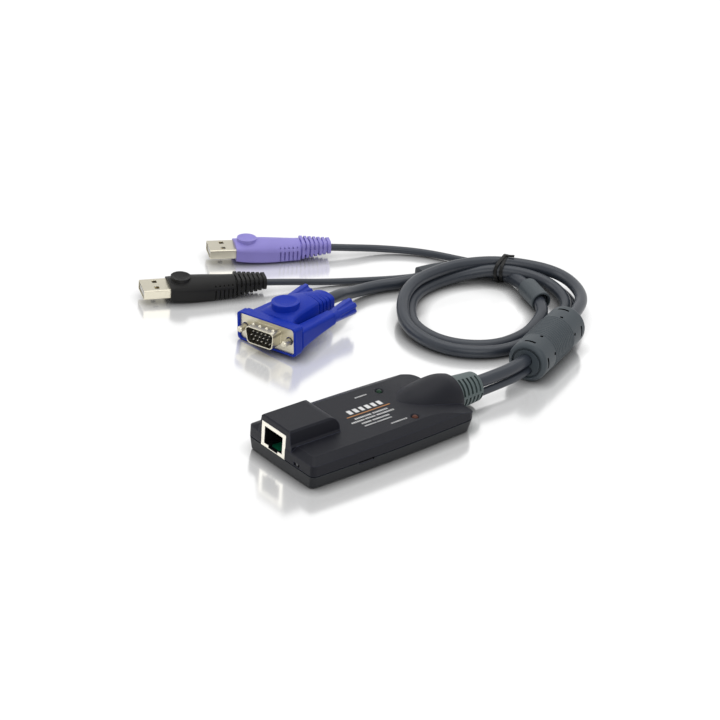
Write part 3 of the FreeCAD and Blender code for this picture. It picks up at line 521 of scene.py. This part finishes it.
@dataclass
class CableSet:
    """All five cables of the adapter."""

    main_diameter: float = 5.7
    usb_diameter: float = 3.4
    thin_diameter: float = 3.1
    lead_diameter: float = 6.4

    def main(self) -> Sheath:
        """The thick cable: housing, ferrite, about two turns, sleeve."""
        route = [
            (0.4, 48.5, 9.2), (0.9, 70.0, 9.4), (0.5, 90.2, 10.7), (-10.2, 115.0, 10.7),
            around(30, 46.5, 10.0), around(60, 51.4, 8.2), around(90, 53.0, 7.4),
            around(120, 42.6, 8.2), around(150, 33.4, 9.0), around(180, 29.7, 8.8),
            around(210, 31.2, 8.6), around(240, 34.9, 7.2), around(270, 42.2, 4.5),
            around(300, 45.7, 2.95), around(330, 43.9, 2.9),
            around(0, 38.8, 2.9), around(30, 36.6, 2.9), around(60, 45.2, 3.4),
            around(90, 45.6, 5.0), around(120, 35.8, 7.4), around(150, 31.6, 4.3),
            around(180, 29.4, 2.9), around(210, 29.6, 2.9), around(240, 31.0, 2.9),
            around(270, 36.8, 2.9), around(300, 39.9, 2.9), around(330, 38.0, 2.9),
            around(0, 33.0, 2.9), around(28, 30.6, 3.6), around(50, 31.6, 4.7),
            (-52.5, 147.3, 4.95),
        ]
        return Sheath("main_cable_turns", self.main_diameter, route, (0.4, 48.0, 9.2), 600.0,
                      "fitting", "coiled", stands_for=("main_cable", "cable_coil"),
                      carries=("strain_relief", "ferrite_cover", "ferrite_core", "cable_sleeve"))

    def usb(self) -> Sheath:
        """The thin cable beside it, which leaves the loop for the purple plug."""
        route = [
            (2.9, 48.5, 4.8), (2.7, 70.0, 5.1), (1.9, 90.8, 6.0), (-9.0, 115.4, 6.0),
            around(30, 47.0, 4.4), around(60, 49.2, 2.3), around(90, 50.3, 1.9),
            around(120, 44.7, 3.2), (-103.0, 147.2, 2.2), (-120.5, 137.6, 1.75),
            (-133.5, 122.5, 2.2), (-140.1, 105.8, 4.2), (-148.0, 90.8, 5.15),
        ]
        return Sheath("purple_plug_cable", self.usb_diameter, route, (3.0, 48.0, 4.7), 262.0,
                      "plug", "loose", stands_for=("usb_purple_cable",),
                      carries=("usb_purple_overmould", "usb_purple_shell", "usb_purple_tongue",
                               "usb_purple_contacts"))

    def lead(self) -> Sheath:
        """The stouter lead from the sleeve, under the tie, to the splitter."""
        route = [
            (-55.5, 148.3, 5.0), (-71.0, 152.9, 4.4), (-81.4, 151.5, 3.6), (-90.3, 145.8, 3.3),
            (-96.0, 137.0, 3.6), (-97.9, 123.8, 4.2),
        ]
        return Sheath("inner_lead", self.lead_diameter, route, (-61.9, 150.3, 5.0), 58.0,
                      "fitting", "loose", stands_for=("inner_cable",), carries=("splitter",))

    def vga(self) -> Sheath:
        """The cable to the VGA plug."""
        route = [
            (-96.8, 121.9, 4.55), (-98.0, 108.9, 3.3), (-103.6, 93.0, 2.95),
            (-102.9, 78.0, 4.0), (-96.7, 62.3, 9.3), (-93.5, 48.6, 8.95),
        ]
        return Sheath("vga_plug_cable", self.main_diameter, route, (-97.5, 115.9, 4.0), 74.0,
                      "connector", "loose", stands_for=("vga_cable",),
                      carries=("vga_overmould", "vga_shell", "vga_insert", "vga_pins",
                               "vga_thumbscrew_left", "vga_thumbscrew_right"))

    def thin(self) -> Sheath:
        """The thin cable to the black plug."""
        route = [
            (-100.5, 122.4, 2.3), (-103.0, 110.6, 2.6), (-113.6, 92.6, 1.6),
            (-121.5, 76.0, 1.9), (-128.3, 56.8, 4.3), (-134.5, 42.6, 5.05),
        ]
        return Sheath("black_plug_cable", self.thin_diameter, route, (-101.3, 116.3, 2.4), 84.0,
                      "plug", "loose", stands_for=("usb_black_cable",),
                      carries=("usb_black_overmould", "usb_black_shell", "usb_black_tongue",
                               "usb_black_contacts"))


@dataclass
class StrapTie:
    """The two crossing bands that hold the strands at the back of the loop, and their free end.

    Lengths are in millimetres and angles in degrees. A band is its slope across the strands, its
    shift along the loop and its height over the strands. A strand is its distance from the loop's
    middle, its height and its radius.
    """

    angle: float = 120.0
    lean: float = 8.0
    middle: float = 39.0
    width: float = 1.5
    thickness: float = 0.6
    gap: float = 0.05
    floor_gap: float = 0.02
    steps: int = 72
    bands: tuple[Triple, ...] = ((0.10, -0.9, 0.0), (-0.10, 0.1, 0.45))
    strands: tuple[Triple, ...] = (
        (41.4, 8.2, 2.85), (34.6, 7.2, 2.85), (43.1, 3.2, 1.7), (38.1, 3.4, 3.2),
    )
    tail_heading: Triple = (0.76, 0.64, 0.0)
    tail_root: float = -0.8
    tail_end: float = 4.6
    tail_width: float = 1.1
    tail_thickness: float = 0.7
    tail_base: float = 0.45
    tail_rise: float = 0.5

    def add_tail(self, mesh: bmesh.types.BMesh, outward: Vector) -> None:
        """Adds the free end, which points along the loop from the top of the bands.

        Args:
            mesh: The mesh to add to.
            outward: The unit vector away from the loop's middle.
        """
        highest = max(self.strands, key=lambda strand: strand[1] + strand[2])
        top = highest[1] + highest[2] + self.gap + self.tail_base
        start = Vector(LOOP_CENTRE) + outward * highest[0] + Vector((0.0, 0.0, top))
        along = Vector(self.tail_heading).normalized()
        across = Vector((-along.y, along.x, 0.0))
        for vertex in bmesh.ops.create_cube(mesh, size=1.0)["verts"]:
            far = vertex.co.x > 0
            reach = self.tail_end if far else self.tail_root
            lift = self.tail_rise if far else 0.0
            place = start + along * reach + across * (vertex.co.y * self.tail_width)
            rise = Vector((0.0, 0.0, vertex.co.z * self.tail_thickness + lift))
            vertex.co = (place + rise) * MM

    def add_band(self, mesh: bmesh.types.BMesh, outward: Vector, heading: Vector,
                 band: Triple) -> None:
        """Adds one band, the tightest ring round the strands.

        Args:
            mesh: The mesh to add to.
            outward: The unit vector away from the loop's middle.
            heading: The unit vector along the loop.
            band: The band's slope, shift and height.
        """
        slope, shift, lift = band
        rings = []
        for index in range(self.steps):
            look = 2 * math.pi * index / self.steps
            direction = Vector((math.cos(look), math.sin(look)))
            best = max(self.strands, key=lambda s: s[0] * direction.x + s[1] * direction.y + s[2])
            corners = []
            for side, level in ((-1, 0), (1, 0), (1, 1), (-1, 1)):
                reach = best[2] + self.gap + lift + level * self.thickness
                across = best[0] + direction.x * reach
                height = max(self.floor_gap, best[1] + direction.y * reach)
                along = shift + slope * (across - self.middle) + side * self.width / 2
                place = Vector(LOOP_CENTRE) + outward * across + Vector((0, 0, height))
                corners.append(mesh.verts.new((place + heading * along) * MM))
            rings.append(corners)
        for index, ring in enumerate(rings):
            following = rings[(index + 1) % self.steps]
            for side, corner in enumerate(ring):
                after = (side + 1) % len(ring)
                mesh.faces.new((corner, ring[after], following[after], following[side]))

    def build(self, finish: Finish) -> bpy.types.Object:
        """Makes the bands and the free end as one mesh.

        Args:
            finish: The tie's finish.

        Returns:
            The tie's object.
        """
        turn = math.radians(self.angle)
        outward = Vector((math.cos(turn), math.sin(turn), 0.0))
        heading = Vector((-math.sin(turn), math.cos(turn), 0.0))
        heading.rotate(Matrix.Rotation(math.radians(self.lean), 3, "Z"))
        mesh = bmesh.new()
        for band in self.bands:
            self.add_band(mesh, outward, heading, band)
        self.add_tail(mesh, outward)
        bmesh.ops.recalc_face_normals(mesh, faces=mesh.faces)
        strap = piece_of("strap_tie", mesh, finish.build())
        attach(strap, ROOT_BODY)
        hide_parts("cable_tie")
        return strap


@dataclass
class ShellDimples:
    """The small spring bumps pressed out of the top of the D-shaped metal rim."""

    tip: Triple = (-85.9, 15.5, 8.05)
    heading: float = 103.0
    pitch: float = 1.5
    roll: float = -4.0
    places: tuple[float, ...] = (-5.6, -1.9, 1.9, 5.6)
    along: float = -2.9
    height: float = 3.75
    radius: float = 0.95
    segments: int = 24

    def build(self, finish: Finish) -> bpy.types.Object:
        """Makes the bumps as one mesh.

        Args:
            finish: The bumps' finish.

        Returns:
            The bumps' object.
        """
        turn = (Matrix.Rotation(math.radians(self.heading), 4, "Z")
                @ Matrix.Rotation(math.radians(-self.pitch), 4, "Y")
                @ Matrix.Rotation(math.radians(self.roll), 4, "X"))
        place = Matrix.Translation(metres(self.tip)) @ turn
        mesh = bmesh.new()
        for across in self.places:
            centre = Matrix.Translation(metres((self.along, across, self.height)))
            bmesh.ops.create_uvsphere(mesh, u_segments=self.segments, v_segments=self.segments // 2,
                                      radius=self.radius * MM, matrix=place @ centre)
        for face in mesh.faces:
            face.smooth = True
        bumps = piece_of("shell_dimples", mesh, finish.build())
        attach(bumps, ROOT_BODY)
        return bumps


# ---------------------------------------------------------------- pieces from node trees
def hand_over(nodes: Tree, shape: bpy.types.NodeSocket, source: bpy.types.Node,
              result: bpy.types.Node) -> None:
    """Gives the finished shape its material and sends it to the tree's output.

    Args:
        nodes: The tree.
        shape: The finished shape.
        source: The tree's input node, which has the material as Ink.
        result: The tree's output node.
    """
    ink = nodes.add("GeometryNodeSetMaterial")
    nodes.join(shape, ink.inputs["Geometry"])
    nodes.join(source.outputs["Ink"], ink.inputs["Material"])
    nodes.join(ink.outputs["Geometry"], result.inputs["Geometry"])


def grow(nodes: Tree, name: str, values: dict[str, object],
         material: bpy.types.Material) -> bpy.types.Object:
    """Turns a geometry tree into an object with a plain mesh.

    Args:
        nodes: The geometry tree, with an input called Ink for the material.
        name: The object's name.
        values: Input values by name.
        material: The object's material.

    Returns:
        The object.
    """
    carrier = bpy.data.objects.new(name + "_carrier", bpy.data.meshes.new(name + "_carrier"))
    bpy.context.scene.collection.objects.link(carrier)
    modifier = carrier.modifiers.new("grow", "NODES")
    modifier.node_group = nodes.tree
    sockets = {item.name: item.identifier for item in nodes.tree.interface.items_tree
               if item.in_out == "INPUT"}
    for label, value in values.items():
        modifier[sockets[label]] = value
    modifier[sockets["Ink"]] = material
    carrier.update_tag()
    bpy.context.view_layer.update()
    evaluated = carrier.evaluated_get(bpy.context.evaluated_depsgraph_get())
    data = bpy.data.meshes.new_from_object(evaluated)
    data.name = name
    carrier.modifiers.remove(modifier)
    bpy.data.objects.remove(carrier)
    data.materials.clear()
    data.materials.append(material)
    piece = bpy.data.objects.new(name, data)
    bpy.context.scene.collection.objects.link(piece)
    return piece


def ring_tree() -> Tree:
    """Makes a geometry tree for raised rings, open below, at even steps along the Z axis.

    Returns:
        The tree.
    """
    nodes, source, result = new_tree(
        "GeometryNodeTree", "open_rings",
        {"Count": "NodeSocketInt", "Pitch": "NodeSocketFloat", "Radius": "NodeSocketFloat",
         "Thickness": "NodeSocketFloat", "Sweep": "NodeSocketFloat", "Ink": "NodeSocketMaterial"},
        {"Geometry": "NodeSocketGeometry"},
    )
    step = nodes.add("ShaderNodeCombineXYZ")
    nodes.join(source.outputs["Pitch"], step.inputs["Z"])
    line = nodes.add("GeometryNodeMeshLine")
    nodes.join(source.outputs["Count"], line.inputs["Count"])
    nodes.join(step.outputs["Vector"], line.inputs["Offset"])
    bow = nodes.add("GeometryNodeCurveArc")
    put(bow, {"Resolution": RING_STEPS})
    nodes.join(source.outputs["Radius"], bow.inputs["Radius"])
    nodes.join(source.outputs["Sweep"], bow.inputs["Sweep Angle"])
    nodes.join(nodes.math("MULTIPLY", source.outputs["Sweep"], -0.5), bow.inputs["Start Angle"])
    section = nodes.add("GeometryNodeCurvePrimitiveCircle")
    put(section, {"Resolution": RING_FACETS})
    nodes.join(source.outputs["Thickness"], section.inputs["Radius"])
    ring = nodes.add("GeometryNodeCurveToMesh")
    put(ring, {"Fill Caps": True})
    nodes.join(bow.outputs["Curve"], ring.inputs["Curve"])
    nodes.join(section.outputs["Curve"], ring.inputs["Profile Curve"])
    spread = nodes.add("GeometryNodeInstanceOnPoints")
    nodes.join(line.outputs["Mesh"], spread.inputs["Points"])
    nodes.join(ring.outputs["Mesh"], spread.inputs["Instance"])
    real = nodes.add("GeometryNodeRealizeInstances")
    nodes.join(spread.outputs["Instances"], real.inputs["Geometry"])
    smooth = nodes.add("GeometryNodeSetShadeSmooth")
    nodes.join(real.outputs["Geometry"], smooth.inputs["Geometry"])
    hand_over(nodes, smooth.outputs["Geometry"], source, result)
    return nodes


@dataclass
class FerriteRings:
    """The fine moulded rings round the middle of the ferrite's cover."""

    first: float = 12.4
    pitch: float = 1.57
    count: int = 13
    radius: float = 9.08
    thickness: float = 0.40
    open_angle: float = 30.0

    def build(self, finish: Finish) -> bpy.types.Object:
        """Makes the rings as one mesh.

        Args:
            finish: The rings' finish.

        Returns:
            The rings' object.
        """
        sweep = math.radians(360.0 - self.open_angle)
        values = {"Count": self.count, "Pitch": self.pitch * MM, "Radius": self.radius * MM,
                  "Thickness": self.thickness * MM, "Sweep": sweep}
        rings = grow(ring_tree(), "ferrite_rings", values, finish.build())
        along = Vector(FERRITE_AXIS).normalized()
        up = Vector((0.0, 0.0, 1.0))
        side = along.cross(up)
        turn = Matrix((up, side, along)).transposed().to_4x4()
        start = metres(FERRITE_START) + along * self.first * MM
        rings.data.transform(Matrix.Translation(start) @ turn)
        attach(rings, ROOT_BODY)
        return rings


# ---------------------------------------------------------------- print on the lid
def dash_tree() -> Tree:
    """Makes a geometry tree for a row of flat dashes of uneven length between two points.

    Returns:
        The tree.
    """
    nodes, source, result = new_tree(
        "GeometryNodeTree", "dash_row",
        {"Start": "NodeSocketVector", "End": "NodeSocketVector", "Count": "NodeSocketInt",
         "Height": "NodeSocketFloat", "Thickness": "NodeSocketFloat", "Fill": "NodeSocketFloat",
         "Seed": "NodeSocketInt", "Ink": "NodeSocketMaterial"},
        {"Geometry": "NodeSocketGeometry"},
    )
    line = nodes.add("GeometryNodeCurvePrimitiveLine")
    nodes.join(source.outputs["Start"], line.inputs["Start"])
    nodes.join(source.outputs["End"], line.inputs["End"])
    split = nodes.add("GeometryNodeResampleCurve")
    nodes.join(line.outputs["Curve"], split.inputs["Curve"])
    nodes.join(source.outputs["Count"], split.inputs["Count"])
    reach = nodes.vector("DISTANCE", source.outputs["Start"], source.outputs["End"])
    gaps = nodes.math("SUBTRACT", source.outputs["Count"], 1.0)
    pitch = nodes.math("DIVIDE", reach.outputs["Value"], gaps)
    full = nodes.math("MULTIPLY", pitch, source.outputs["Fill"])
    uneven = nodes.add("FunctionNodeRandomValue", data_type="FLOAT")
    uneven.inputs[2].default_value = SHORTEST_DASH
    uneven.inputs[3].default_value = LONGEST_DASH
    nodes.join(source.outputs["Seed"], uneven.inputs["Seed"])
    size = nodes.add("ShaderNodeCombineXYZ")
    nodes.join(source.outputs["Height"], size.inputs["X"])
    nodes.join(nodes.math("MULTIPLY", full, uneven.outputs[1]), size.inputs["Y"])
    nodes.join(source.outputs["Thickness"], size.inputs["Z"])
    block = nodes.add("GeometryNodeMeshCube")
    put(block, {"Size": (1.0, 1.0, 1.0)})
    spread = nodes.add("GeometryNodeInstanceOnPoints")
    nodes.join(split.outputs["Curve"], spread.inputs["Points"])
    nodes.join(block.outputs["Mesh"], spread.inputs["Instance"])
    nodes.join(size.outputs["Vector"], spread.inputs["Scale"])
    real = nodes.add("GeometryNodeRealizeInstances")
    nodes.join(spread.outputs["Instances"], real.inputs["Geometry"])
    hand_over(nodes, real.outputs["Geometry"], source, result)
    return nodes


@dataclass
class LidPrint:
    """The generic bars and lines printed on the lid where a label would be.

    A row is its place across the lid, its two ends along it, its number of dashes and their
    height. The stripe is its place, its two ends and its height.
    """

    lid_z: float = 13.3
    lift: float = 0.03
    fill: float = 0.64
    first_seed: int = 3
    rows: tuple[tuple[float, float, float, int, float], ...] = (
        (2.3, -7.0, 1.0, 9, 1.05), (2.3, 2.8, 10.0, 8, 1.05), (4.4, -10.4, -4.4, 7, 1.05),
        (4.4, -2.9, 1.6, 5, 1.05), (4.4, 3.3, 11.8, 9, 1.05), (6.8, -6.9, -2.6, 5, 1.05),
        (6.8, -0.9, 7.2, 9, 1.05), (9.0, -7.2, -1.6, 8, 0.75), (9.0, -0.2, 6.8, 8, 0.75),
        (-11.85, 4.6, 10.2, 7, 0.8), (13.25, 3.8, 11.6, 8, 0.8), (-3.3, -5.6, 10.6, 6, 3.1),
    )
    stripe: tuple[float, float, float, float] = (-0.2, -9.6, 13.8, 0.45)

    def build(self, white: Finish, orange: Finish) -> list[bpy.types.Object]:
        """Prints the bars and the line.

        Args:
            white: The bars' finish.
            orange: The line's finish.

        Returns:
            The printed pieces.
        """
        tree = dash_tree()
        height = (self.lid_z + self.lift / 2) * MM
        pieces = []
        for index, (x, low, high, count, tall) in enumerate(self.rows):
            values = {"Start": (x * MM, low * MM, height), "End": (x * MM, high * MM, height),
                      "Count": count, "Height": tall * MM, "Thickness": self.lift * MM,
                      "Seed": index + self.first_seed, "Fill": self.fill}
            pieces.append(grow(tree, f"print_row_{index}", values, white.build()))
        x, low, high, tall = self.stripe
        line = bmesh.new()
        bmesh.ops.create_cube(line, size=1.0)
        for vertex in line.verts:
            vertex.co = Vector((x + vertex.co.x * tall,
                                (low + high) / 2 + vertex.co.y * (high - low),
                                self.lid_z + self.lift / 2 + vertex.co.z * self.lift)) * MM
        pieces.append(piece_of("print_line", line, orange.build()))
        for piece in pieces:
            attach(piece, ROOT_BODY)
        return pieces


# ---------------------------------------------------------------- finishes
FINISHES: dict[str, Finish] = {
    # The housing, tray and black grip get strong painted highlights along their edges.
    "housing": SeamFinish("satin_black_housing", (0.0078, 0.0085, 0.0135), 0.44, grain_depth=0.35,
                          edge=0.5, edge_highlight_gain=6.0, specular=0.17),
    "tray": SeamFinish("satin_black_tray", (0.0095, 0.0108, 0.0135), 0.46, grain_depth=0.35,
                       edge=0.4, edge_highlight_gain=6.0, specular=0.22),
    "board": Finish("green_board", (0.01, 0.20, 0.10), 0.3, edge=0.1),
    "chip": Finish("chip_black", (0.015, 0.015, 0.016), 0.5, edge=0.1),
    "can": Finish("capacitor_can", (0.7, 0.7, 0.72), 0.3, metal=Metal.BARE, edge=0.1),
    "ivory": Finish("ivory_nylon", (0.75, 0.74, 0.70), 0.45, edge=0.1),
    "jack_sheet": PlateFinish("nickel_jack_can", (0.80, 0.77, 0.68), 0.42, metal=Metal.BARE,
                              edge=0.12, along=(1.0, 0.0, 0.0)),
    "jack": Finish("jack_black", (0.006, 0.006, 0.007), 0.4, edge=0.15, specular=0.25),
    "gold": Finish("gold_contact", (0.83, 0.62, 0.28), 0.25, metal=Metal.BARE, edge=0.05),
    "switch": Finish("switch_case", (0.55, 0.55, 0.55), 0.35, metal=Metal.BARE, edge=0.1),
    "knob": Finish("switch_knob_black", (0.03, 0.03, 0.032), 0.4, edge=0.15),
    "green": Finish("green_lens", (0.006, 0.034, 0.016), 0.35, edge=0.1, specular=0.2),
    "orange": Finish("orange_lens", (0.10, 0.032, 0.018), 0.35, edge=0.1, specular=0.2),
    "dimple": Finish("nickel_dimples", NICKEL, 0.28, metal=Metal.BARE, edge=0.05),
    "splitter": Finish("grey_splitter", (0.040, 0.048, 0.056), 0.5, grain_depth=0.2, edge=0.25,
                       specular=0.3),
    "pins": Finish("pale_pins", (0.62, 0.60, 0.55), 0.35, metal=Metal.BARE, edge=0.05),
    "relief": Finish("grey_vinyl_relief", (0.085, 0.115, 0.115), 0.5, grain_depth=0.25, edge=0.2),
    "ferrite": WindowFinish("grey_ferrite_cover", (0.035, 0.048, 0.058), 0.48, grain_depth=0.2,
                            edge=0.35, axis=FERRITE_AXIS, start=FERRITE_START),
    "rings": Finish("grey_ferrite_rings", (0.035, 0.048, 0.058), 0.46, grain_depth=0.2, edge=0.05),
    "core": Finish("ferrite_ceramic", (0.012, 0.012, 0.012), 0.5, edge=0.1),
    "sleeve": Finish("grey_sleeve", (0.048, 0.062, 0.072), 0.5, grain_depth=0.2, edge=0.25),
    "sheath": Finish("grey_vinyl_sheath", (0.032, 0.039, 0.052), 0.34, grain_scale=5000.0,
                     specular=0.42, grain_depth=0.2, edge=0.05, shade=0.8),
    "tie": Finish("strap_black", (0.006, 0.006, 0.006), 0.38, edge=0.15, specular=0.2),
    "blue": Finish("blue_hood", (0.004, 0.030, 0.41), 0.42, grain_depth=0.2, edge=0.3,
                   specular=0.17),
    "screw": TippedFinish("blue_jackscrew", (0.006, 0.032, 0.40), 0.38, grain_depth=0.2, edge=0.2,
                          specular=0.3, axis=VGA_AXIS, start=SCREW_SPLIT),
    "purple": Finish("purple_grip", (0.31, 0.27, 0.70), 0.44, grain_depth=0.2, edge=0.3,
                     specular=0.3),
    "black": Finish("black_grip", (0.015, 0.0147, 0.0143), 0.44, grain_depth=0.3, edge=0.3,
                    edge_highlight_gain=3.5, specular=0.15),
    "white_ink": Finish("white_ink", (0.80, 0.80, 0.80), 0.6, edge=0.01, grain_depth=0.0),
    "orange_ink": Finish("orange_ink", (0.62, 0.26, 0.06), 0.6, edge=0.01, grain_depth=0.0),
}

NODE_FINISHES: dict[str, str] = {
    "top_cover": "housing", "bottom_cover": "tray", "circuit_board": "board", "main_chip": "chip",
    "video_chip": "chip", "memory_chip": "chip", "capacitors": "can", "cable_header": "ivory",
    "rj45_shield": "jack_sheet", "rj45_housing": "jack", "rj45_contacts": "gold",
    "slide_switch_body": "switch", "slide_switch_knob": "knob", "green_led": "green",
    "orange_led": "orange", "strain_relief": "relief", "ferrite_cover": "ferrite",
    "ferrite_core": "core", "cable_sleeve": "sleeve", "cable_tie": "tie", "main_cable": "sheath",
    "cable_coil": "sheath", "inner_cable": "sheath", "usb_purple_cable": "sheath",
    "vga_cable": "sheath", "usb_black_cable": "sheath", "splitter": "splitter",
    "vga_insert": "jack", "vga_pins": "pins", "vga_overmould": "blue",
    "vga_thumbscrew_left": "screw", "vga_thumbscrew_right": "screw",
    "usb_black_tongue": "ivory", "usb_black_contacts": "gold", "usb_black_overmould": "black",
    "usb_purple_tongue": "ivory", "usb_purple_contacts": "gold", "usb_purple_overmould": "purple",
}
PLUG_HEADINGS: dict[str, float] = {
    "usb_black_shell": 66.4, "usb_purple_shell": 62.1, "vga_shell": 13.0,
}


def dress_nodes(frame: dict) -> None:
    """Gives every carried-over node its finish.
    """
    for name, node in frame["nodes"].items():
        if name in PLUG_HEADINGS:
            turn = math.radians(PLUG_HEADINGS[name])
            finish: Finish = PlateFinish(f"nickel_{name}", NICKEL, 0.3, metal=Metal.BARE,
                                         edge=0.15, along=(math.cos(turn), math.sin(turn), 0.0))
        else:
            finish = FINISHES[NODE_FINISHES[name]]
        material = finish.build()
        if not node.material_slots:
            node.data.materials.append(material)
        for slot in node.material_slots:
            slot.material = material
        LOG.info("dressed %s with %s", name, material.name)


# ---------------------------------------------------------------- studio
@dataclass
class Studio:
    """The pale floor, the lamps, the white surroundings and the camera.

    Lengths are in metres, apart from the two radii about the loop, which are in millimetres.
    A lamp is its name, its place, its side and its power in watts.
    """

    eye: Triple = (0.82185, -0.73440, 0.62627)
    right: Triple = (0.63524, 0.76942, 0.06676)
    up: Triple = (-0.40138, 0.25506, 0.87968)
    back: Triple = (0.65982, -0.58561, 0.47086)
    lens: float = 150.0
    sensor: float = 36.0
    clip: tuple[float, float] = (0.01, 50.0)
    floor_size: float = 6.0
    floor_drop: float = 0.00002
    floor_grey: float = 0.20
    floor_glow: float = 0.88
    floor_blur: float = 0.17
    shadow_paint_reach: float = 0.007
    shadow_paint_power: float = 2.3
    shadow_paint_samples: int = 8
    mirror: float = 0.49
    dull: float = 0.10
    dull_radius: float = 18.0
    clear_radius: float = 33.0
    ambient: float = 0.55
    seen_extra: float = 0.45
    middle: Triple = (-0.06, 0.07, 0.0)
    lamps: tuple[tuple[str, Triple, float, float], ...] = (
        ("overhead_softbox", (-0.35, 0.35, 1.3), 1.2, 7.0),
        ("front_fill", (1.1, -0.5, 0.9), 0.9, 4.6),
        ("left_edge", (-1.0, -0.7, 0.7), 0.7, 2.5),
    )

    def direct_rays(self, tree: Tree) -> bpy.types.NodeSocket:
        """Gives 1 for rays that show the surroundings and 0 for rays that light things by them."""
        rays = tree.add("ShaderNodeLightPath")
        seen = tree.math("MAXIMUM", rays.outputs["Is Camera Ray"], rays.outputs["Is Glossy Ray"])
        return tree.math("MAXIMUM", seen, rays.outputs["Is Transmission Ray"])

    def mirror_share(self, tree: Tree) -> bpy.types.NodeSocket:
        """Gives how much of the floor is mirror: little inside the loop, the full share outside."""
        spot = tree.add("ShaderNodeTexCoord")
        away = tree.vector("DISTANCE", spot.outputs["Object"], metres(LOOP_CENTRE))
        fade = tree.add("ShaderNodeMapRange", interpolation_type="SMOOTHSTEP")
        put(fade, {"From Min": self.dull_radius * MM, "From Max": self.clear_radius * MM,
                   "To Min": self.dull, "To Max": self.mirror})
        tree.join(away.outputs["Value"], fade.inputs["Value"])
        return fade.outputs["Result"]

    def floor_material(self) -> bpy.types.Material:
        """Builds the floor's material: white, softly mirroring, with a painted contact shadow that
        darkens it where things touch it.

        Returns:
            The material.
        """
        material = bpy.data.materials.new("studio_floor")
        material.use_nodes = True
        tree = Tree(material.node_tree)
        surface = material.node_tree.nodes["Principled BSDF"]
        put(surface, {"Base Color": (*(self.floor_grey,) * 3, 1.0), "Roughness": 1.0,
                      "Specular IOR Level": 0.0, "Emission Color": (1.0, 1.0, 1.0, 1.0)})
        # Painted contact shadow: occlusion near things darkens the floor's glow.
        near = tree.add("ShaderNodeAmbientOcclusion", samples=self.shadow_paint_samples)
        put(near, {"Distance": self.shadow_paint_reach})
        contact = tree.math("POWER", near.outputs["AO"], self.shadow_paint_power)
        glow = tree.math("MULTIPLY", self.direct_rays(tree), contact)
        tree.join(tree.math("MULTIPLY", glow, self.floor_glow), surface.inputs["Emission Strength"])
        gloss = tree.add("ShaderNodeBsdfGlossy")
        put(gloss, {"Roughness": self.floor_blur, "Color": (1.0, 1.0, 1.0, 1.0)})
        both = tree.add("ShaderNodeMixShader")
        tree.join(self.mirror_share(tree), both.inputs[0])
        tree.join(surface.outputs[0], both.inputs[1])
        tree.join(gloss.outputs[0], both.inputs[2])
        tree.join(both.outputs[0], material.node_tree.nodes["Material Output"].inputs["Surface"])
        return material

    def floor(self) -> None:
        """Lays the floor."""
        mesh = bmesh.new()
        bmesh.ops.create_grid(mesh, x_segments=1, y_segments=1, size=self.floor_size)
        floor = piece_of("floor", mesh, self.floor_material())
        floor.location = (0.0, 0.0, -self.floor_drop)

    def world(self) -> None:
        """Sets even white surroundings, which light things less than they show."""
        world = bpy.data.worlds.new("studio")
        world.use_nodes = True
        bpy.context.scene.world = world
        tree = Tree(world.node_tree)
        glow = world.node_tree.nodes["Background"]
        put(glow, {"Color": (1.0, 1.0, 1.0, 1.0)})
        extra = tree.math("MULTIPLY", self.direct_rays(tree), self.seen_extra)
        tree.join(tree.math("ADD", extra, self.ambient), glow.inputs["Strength"])

    def lamp(self, name: str, place: Triple, size: float, power: float) -> None:
        """Hangs one square lamp that looks at the middle of the scene.

        Args:
            name: The lamp's name.
            place: Where it hangs, in metres.
            size: Its side, in metres.
            power: Its power, in watts.
        """
        light = bpy.data.lights.new(name, "AREA")
        light.size = size
        light.energy = power
        lamp = bpy.data.objects.new(name, light)
        lamp.location = place
        aim = Vector(self.middle) - Vector(place)
        lamp.rotation_euler = aim.to_track_quat("-Z", "Y").to_euler()
        bpy.context.scene.collection.objects.link(lamp)

    def camera(self) -> None:
        """Places the camera."""
        data = bpy.data.cameras.new("camera")
        data.lens = self.lens
        data.sensor_width = self.sensor
        data.clip_start, data.clip_end = self.clip
        camera = bpy.data.objects.new("camera", data)
        rotation = Matrix((self.right, self.up, self.back)).transposed()
        camera.matrix_world = Matrix.Translation(self.eye) @ rotation.to_4x4()
        bpy.context.scene.collection.objects.link(camera)
        bpy.context.scene.camera = camera

    def build(self) -> None:
        """Sets up the whole studio."""
        self.floor()
        self.world()
        for name, place, size, power in self.lamps:
            self.lamp(name, place, size, power)
        self.camera()
        bpy.context.scene.view_settings.view_transform = "Standard"


def main() -> None:
    """Builds the object's looks in order."""
    logging.basicConfig(level=logging.INFO, format="%(message)s")
    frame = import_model()
    dress_nodes(frame)
    cables = CableSet()
    tie = StrapTie().build(FINISHES["tie"])
    dimples = ShellDimples().build(FINISHES["dimple"])
    rings = FerriteRings().build(FINISHES["rings"])
    pieces_on = {"main_cable_turns": (tie, rings), "vga_plug_cable": (dimples,)}
    for sheath in (cables.main(), cables.usb(), cables.lead(), cables.vga(), cables.thin()):
        sheath.build(FINISHES["sheath"])
        sheath.declare(pieces_on.get(sheath.name, ()))
        LOG.info("laid %s", sheath.name)
    for piece in LidPrint().build(FINISHES["white_ink"], FINISHES["orange_ink"]):
        LOG.info("printed %s", piece.name)
    Studio().build()


if __name__ == "__main__":
    main()
